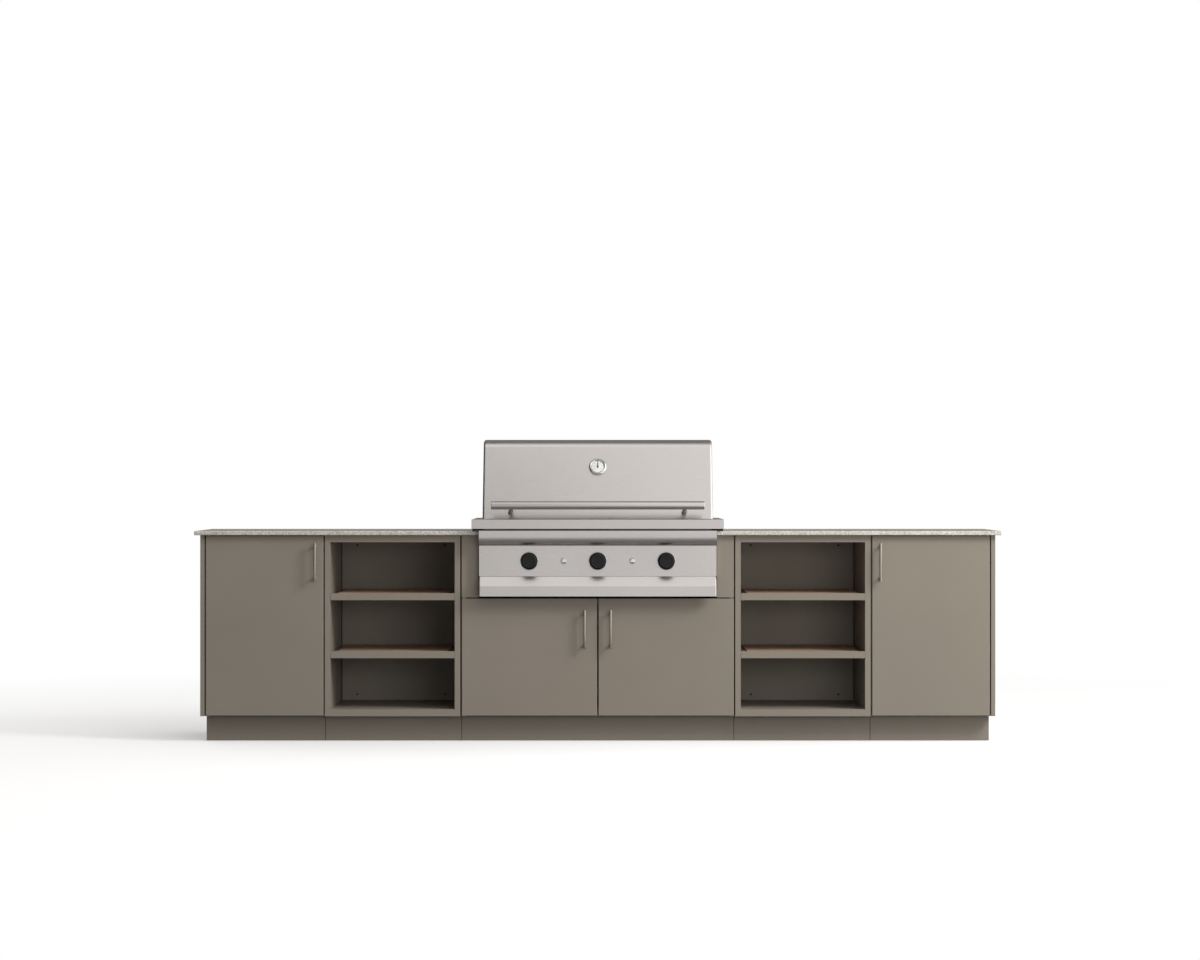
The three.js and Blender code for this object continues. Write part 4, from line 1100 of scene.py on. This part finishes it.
piece(
    "thermometer_pointer",
    moved(merged([lathe(HUB_PROFILE, sides=40), pointer_blade()]), gauge_base),
    PRINT,
    "needle",
)
for part, shape, material, slot, stands_for in (
    ("ring", lathe(GAUGE_PROFILE, sides=96), POLISHED, "polished_steel", ["thermometer_case"]),
    ("dial", lathe(DIAL_PROFILE, sides=96), DIAL_WHITE, "polished_steel", ()),
    ("marks", merged(marks), PRINT, "black_plastic", ()),
    ("lens", lathe(LENS_PROFILE, sides=96), GLASS, "polished_steel", ()),
):
    name = f"thermometer_{part}"
    piece(name, moved(shape, gauge_base), material, "lid", stands_for)


# The warming rack, in round wire

RACK_RAIL_RADIUS = 3.8 * MM
RACK_WIRE_RADIUS = 1.9 * MM
RACK_WIRES = 33
RACK_INSET = 4 * MM

rack_low, rack_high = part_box("warming_rack")
rack_z = rack_high.z - RACK_INSET
rack_x = (rack_low.x + RACK_INSET, rack_high.x - RACK_INSET)
rack_y = (rack_low.y + RACK_INSET, rack_high.y - RACK_INSET)
rack_runs = []
for y in rack_y:
    rack_runs.append(((rack_x[0], y, rack_z), (rack_x[1], y, rack_z)))
    rack_runs.extend(((x, y, rack_low.z), (x, y, rack_z)) for x in rack_x)
rack_runs.extend(((x, rack_y[0], rack_z), (x, rack_y[1], rack_z)) for x in rack_x)
rack_parts = [rod(start, end, RACK_RAIL_RADIUS, sides=16) for start, end in rack_runs]
for index in range(1, RACK_WIRES):
    x = rack_x[0] + (rack_x[1] - rack_x[0]) * index / RACK_WIRES
    rack_parts.append(rod(
        (x, rack_y[0], rack_z + RACK_WIRE_RADIUS),
        (x, rack_y[1], rack_z + RACK_WIRE_RADIUS),
        RACK_WIRE_RADIUS,
        sides=12,
    ))
piece(
    "warming_rack_wires",
    merged(rack_parts),
    POLISHED,
    "island",
    ["warming_rack"],
)


# Plugs in the small back holes, a grommet in the gas hole, and nuts on the lid's rod

PLUG_PROFILE = in_mm(
    (0, -1.2), (2.6, -1.15), (3.9, -0.8), (4.5, -0.4), (4.6, -0.1), (4.5, 0), (3.7, 0),
    (3.7, 3.4), (3.2, 3.9), (0, 4.0),
)
PLUG_INSET = 101 * MM
PLUG_DROP = 57 * MM
BACK_SHEET = 2 * MM
GROMMET_PROFILE = in_mm(
    (20, -2.6), (20.8, -3.6), (22.5, -4.2), (28, -4.0), (30.4, -3.2), (31, -2.2), (25.8, -2.0),
    (25.8, 0), (31, 0.2), (30.4, 1.4), (28, 2.2), (22.5, 2.4), (20.8, 1.6), (20, 0.6), (20, -2.6),
)
GAS_HOLE_X, GAS_HOLE_Z = 409.5 * MM, 304 * MM
NUT_PROFILE = in_mm(
    (0, -6.4), (2.4, -6.2), (4.6, -5.4), (6.0, -4.2), (6.6, -2.8), (8.2, -2.6), (8.6, -2.0),
    (8.6, -0.4), (8.2, 0), (0, 0),
)

for name in PLINTHS:
    low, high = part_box(f"{name}_cabinet")
    plugs = [
        moved(lathe(PLUG_PROFILE, sides=32), Matrix.Translation((x, high.y - BACK_SHEET, z)))
        for x in (low.x + PLUG_INSET, high.x - PLUG_INSET)
        for z in (low.z + PLUG_DROP, high.z - PLUG_DROP)
    ]
    piece(f"{name}_back_plugs", merged(plugs), PLASTIC, "island")
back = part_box("grill_base_cabinet")[1].y
piece(
    "gas_hole_grommet",
    moved(lathe(GROMMET_PROFILE, sides=64), Matrix.Translation((GAS_HOLE_X, back, GAS_HOLE_Z))),
    RUBBER,
    "island",
)
rod_low, rod_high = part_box("hood_hinge_rod")
rod_middle = middle("hood_hinge_rod")
nuts = []
for x, turn in ((rod_low.x, -math.pi / 2), (rod_high.x, math.pi / 2)):
    place = Matrix.Translation((x, rod_middle.y, rod_middle.z))
    nuts.append(moved(lathe(NUT_PROFILE, sides=48), place @ Matrix.Rotation(turn, 4, "Z")))
piece("hood_pivot_nuts", merged(nuts), POLISHED, body_of("hood_hinge_rod"))


# Dark rubber strips in the open cabinets' back corners, from the deck up: painted shade, standing
# in for the shadow where each side wall meets the back

OPEN_HALF = 277 * MM
SHADE_STRIP = 4 * MM
SHADE_STRIP_EASE = 1 * MM
DECK_RISE = 31.2 * MM

for side in SIDES:
    low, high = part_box(f"{side}_open_cabinet")
    centre_x, back = middle(f"{side}_lower_shelf").x, high.y - BACK_SHEET
    # Each strip is painted shade in a back corner
    shade_strips = [
        block((x, back - SHADE_STRIP, low.z + DECK_RISE), (x + SHADE_STRIP, back, high.z - SHADE_STRIP), SHADE_STRIP_EASE)
        for x in (centre_x - OPEN_HALF, centre_x + OPEN_HALF - SHADE_STRIP)
    ]
    piece(f"{side}_open_corner_shade_strips", merged(shade_strips), RUBBER, "island")


# The studio: floor, cards, lamps and camera

WHITE = (1.0, 1.0, 1.0, 1.0)
DAYLIGHT = (1.0, 0.99, 0.975, 1.0)
LAMP_COLOUR = (1.0, 0.985, 0.965)

FLOOR_HALF = 60.0
FLOOR_COLOUR = (0.98, 0.98, 0.98, 1.0)
FLOOR_BOUNCE = (0.2, 0.2, 0.2, 1.0)
FLOOR_KEEP = 0.78
FLOOR_LIFT = 0.08
FLOOR_REACH = (3.4, 3.2)
FLOOR_FADE = (0.7, 1.8)

# The dome's level by the Y, Z and X of a direction: from, to, and its level at each
DOME = (
    ("Y", 0.5, -0.5, 0.4, 1.0),
    ("Z", 0.0, 0.8, 0.45, 1.05),
    ("X", -0.4, 0.55, 0.3, 1.55),
)
DOME_BEHIND = 0.85
DOME_BEHIND_REACH = 0.6

# Name, place, target, power, size and whether metal mirrors it
SOFTBOXES = (
    ("high_softbox", (4.8, -3.2, 4.2), (0.6, -0.2, 0.5), 255, (2.0, 2.0), False),
    ("front_softbox", (1.8, -6.0, 1.0), (0.6, 0.0, 0.6), 62, (3.0, 1.4), False),
    ("side_softbox", (6.5, -4.0, 2.2), (0.6, 0.0, 0.6), 28, (1.6, 2.4), True),
)

# A corner, the sides from it, the level, and the soft shares of both ends of each side
CARDS = {
    "front_floor": ((-6, -7.7, 0.002), (7.9, 0, 0), (0, 8.7, 0), 0.16, ((0.1, 0.1), (0.88, 0))),
    "ceiling": ((-12, 7, 9), (24, 0, 0), (0, -8.2, 0), 0.2, ((0, 0), (0, 0.15))),
    "high_front": ((-12, -2.8, 9), (24, 0, 0), (0, -1.7, 0), 1.25, ((0, 0), (0.2, 0.2))),
    "front_left": ((-9, -3.5, 0.6), (10.6, 0, 0), (0, 0, 5.9), 0.5, ((0, 0.36), (0, 0.2))),
    "right": ((4.2, -5, 0.4), (0, 7.5, 0), (0, 0, 5.6), 1.9, ((0.15, 0), (0.1, 0.15))),
    "back": ((-12, 7, 0.01), (24, 0, 0), (0, 0, 15.99), 0.2, ((0.1, 0.1), (0, 0.3))),
    "left": ((-4.5, -6, 0.01), (0, 13, 0), (0, 0, 6.99), 0.07, ((0.3, 0), (0, 0.3))),
}
CARD_WARMTH = 0.98

CAMERA_X = 0.010
CAMERA_HEIGHT = 1.167
CAMERA_DISTANCE = 14.1
DOOR_FACE_Y = -0.2502
SENSOR = 36.0
FOCAL_PIXELS = 3164
PICTURE_WIDTH = 1200
CLIP_END = 200


def seen_directly(tree):
    """1 for rays that see the background itself: from the camera, or in metal or glass."""
    rays = add_node(tree, "ShaderNodeLightPath").outputs
    kinds = ("Is Camera Ray", "Is Glossy Ray", "Is Transmission Ray")
    return chained(tree, "MAXIMUM", [rays[kind] for kind in kinds])


def make_world():
    """White where it is seen; as light, a dome that is brighter in front and on the right."""
    world = bpy.data.worlds.new("studio")
    bpy.context.scene.world = world
    world.use_nodes = True
    tree = world.node_tree
    tree.nodes.clear()
    sky = add_node(tree, "ShaderNodeTexCoord").outputs["Generated"]
    parts = add_node(tree, "ShaderNodeSeparateXYZ", {0: sky}).outputs
    front = chained(tree, "MULTIPLY", [
        smooth_step(tree, parts[axis], *limits) for axis, *limits in DOME
    ])
    behind = smooth_step(tree, parts["Y"], 0.0, DOME_BEHIND_REACH)
    level = add_node(tree, "ShaderNodeMix", {0: behind, 2: front, 3: DOME_BEHIND}).outputs[0]
    light = add_node(tree, "ShaderNodeBackground", {"Color": DAYLIGHT, "Strength": level})
    white = add_node(tree, "ShaderNodeBackground", {"Color": WHITE, "Strength": 1.0})
    both = mixed_shader(tree, seen_directly(tree), light, white)
    add_node(tree, "ShaderNodeOutputWorld", {0: both.outputs[0]})


def studio_material(name):
    """A material with an empty tree, which isn't sampled as a lamp where it glows."""
    material = bpy.data.materials.new(name)
    material.use_nodes = True
    material.node_tree.nodes.clear()
    material.cycles.emission_sampling = "NONE"
    return material


def floor_material():
    """Matt for the light that bounces; where it is seen, part of it is plain white."""
    material = studio_material("studio_floor")
    tree = material.node_tree
    bounce = add_node(tree, "ShaderNodeBsdfDiffuse", {"Color": FLOOR_BOUNCE})
    matt = add_node(tree, "ShaderNodeBsdfDiffuse", {"Color": FLOOR_COLOUR})
    white = add_node(tree, "ShaderNodeEmission", {"Color": WHITE, "Strength": 1.0})
    lift = add_node(tree, "ShaderNodeEmission", {"Color": WHITE, "Strength": FLOOR_LIFT})
    lit = add_node(tree, "ShaderNodeAddShader", {0: matt.outputs[0], 1: lift.outputs[0]})
    shrunk = add_node(tree, "ShaderNodeMapping", {
        "Vector": add_node(tree, "ShaderNodeTexCoord").outputs["Object"],
        "Scale": (1 / FLOOR_REACH[0], 1 / FLOOR_REACH[1], 1.0),
    }).outputs[0]
    away = add_node(tree, "ShaderNodeVectorMath", {0: shrunk}, operation="LENGTH").outputs["Value"]
    near = smooth_step(tree, away, *FLOOR_FADE, FLOOR_KEEP, 0.0)
    shown = mixed_shader(tree, near, white, lit)
    both = mixed_shader(tree, seen_directly(tree), bounce, shown)
    add_node(tree, "ShaderNodeOutputMaterial", {0: both.outputs[0]})
    return material


def plane(name, start, across, along, material):
    """A rectangle of the studio from one corner and the two sides that meet there."""
    start, across, along = Vector(start), Vector(across), Vector(along)
    corners = [start, start + across, start + across + along, start + along]
    data = bpy.data.meshes.new(name)
    data.from_pydata(corners, [], [(0, 1, 2, 3)])
    data.materials.append(material)
    made = bpy.data.objects.new(name, data)
    bpy.context.scene.collection.objects.link(made)
    return made


def card(name, start, across, along, level, fades):
    """A grey or bright card that only polished and metal surfaces mirror, soft at its ends."""
    material = studio_material(name)
    tree = material.node_tree
    colour = (level, level, level * CARD_WARMTH, 1.0)
    glow = add_node(tree, "ShaderNodeEmission", {"Color": colour})
    clear = add_node(tree, "ShaderNodeBsdfTransparent")
    places = add_node(tree, "ShaderNodeUVMap").outputs[0]
    parts = add_node(tree, "ShaderNodeSeparateXYZ", {0: places}).outputs
    ends = []
    for axis, (near, far) in enumerate(fades):
        if near:
            ends.append(smooth_step(tree, parts[axis], 0.0, near))
        if far:
            ends.append(smooth_step(tree, parts[axis], 1.0, 1 - far))
    both = mixed_shader(tree, chained(tree, "MULTIPLY", ends), clear, glow)
    add_node(tree, "ShaderNodeOutputMaterial", {0: both.outputs[0]})
    made = plane(name, start, across, along, material)
    layer = made.data.uv_layers.new(name="places")
    for loop, place in zip(layer.data, ((0, 0), (1, 0), (1, 1), (0, 1))):
        loop.uv = place
    for ray in ("camera", "diffuse", "transmission", "volume_scatter", "shadow"):
        setattr(made, f"visible_{ray}", False)


def aim(thing, target):
    direction = target - thing.location
    thing.rotation_euler = direction.to_track_quat("-Z", "Y").to_euler()


def lamp(name, kind, place, target, **settings):
    data = bpy.data.lights.new(name, kind)
    for key, value in settings.items():
        setattr(data, key, value)
    made = bpy.data.objects.new(name, data)
    made.location = place
    bpy.context.scene.collection.objects.link(made)
    aim(made, target)
    return made


make_world()
plane(
    "studio_floor_plane",
    (-FLOOR_HALF, -FLOOR_HALF, 0),
    (2 * FLOOR_HALF, 0, 0),
    (0, 2 * FLOOR_HALF, 0),
    floor_material(),
)
for name, settings in CARDS.items():
    card(f"{name}_card", *settings)
for name, place, target, power, (width, height), mirrored in SOFTBOXES:
    softbox = lamp(
        name, "AREA", Vector(place), Vector(target),
        energy=power, shape="RECTANGLE", size=width, size_y=height, color=LAMP_COLOUR,
    )
    softbox.visible_glossy = mirrored

camera = bpy.data.cameras.new("camera")
camera.sensor_width = SENSOR
camera.lens = SENSOR * FOCAL_PIXELS / PICTURE_WIDTH
camera.clip_end = CLIP_END
camera_object = bpy.data.objects.new("camera", camera)
camera_object.location = (CAMERA_X, DOOR_FACE_Y - CAMERA_DISTANCE, CAMERA_HEIGHT)
camera_object.rotation_euler = (math.pi / 2, 0, 0)
bpy.context.scene.collection.objects.link(camera_object)
bpy.context.scene.camera = camera_object
bpy.context.scene.view_settings.view_transform = "Standard"
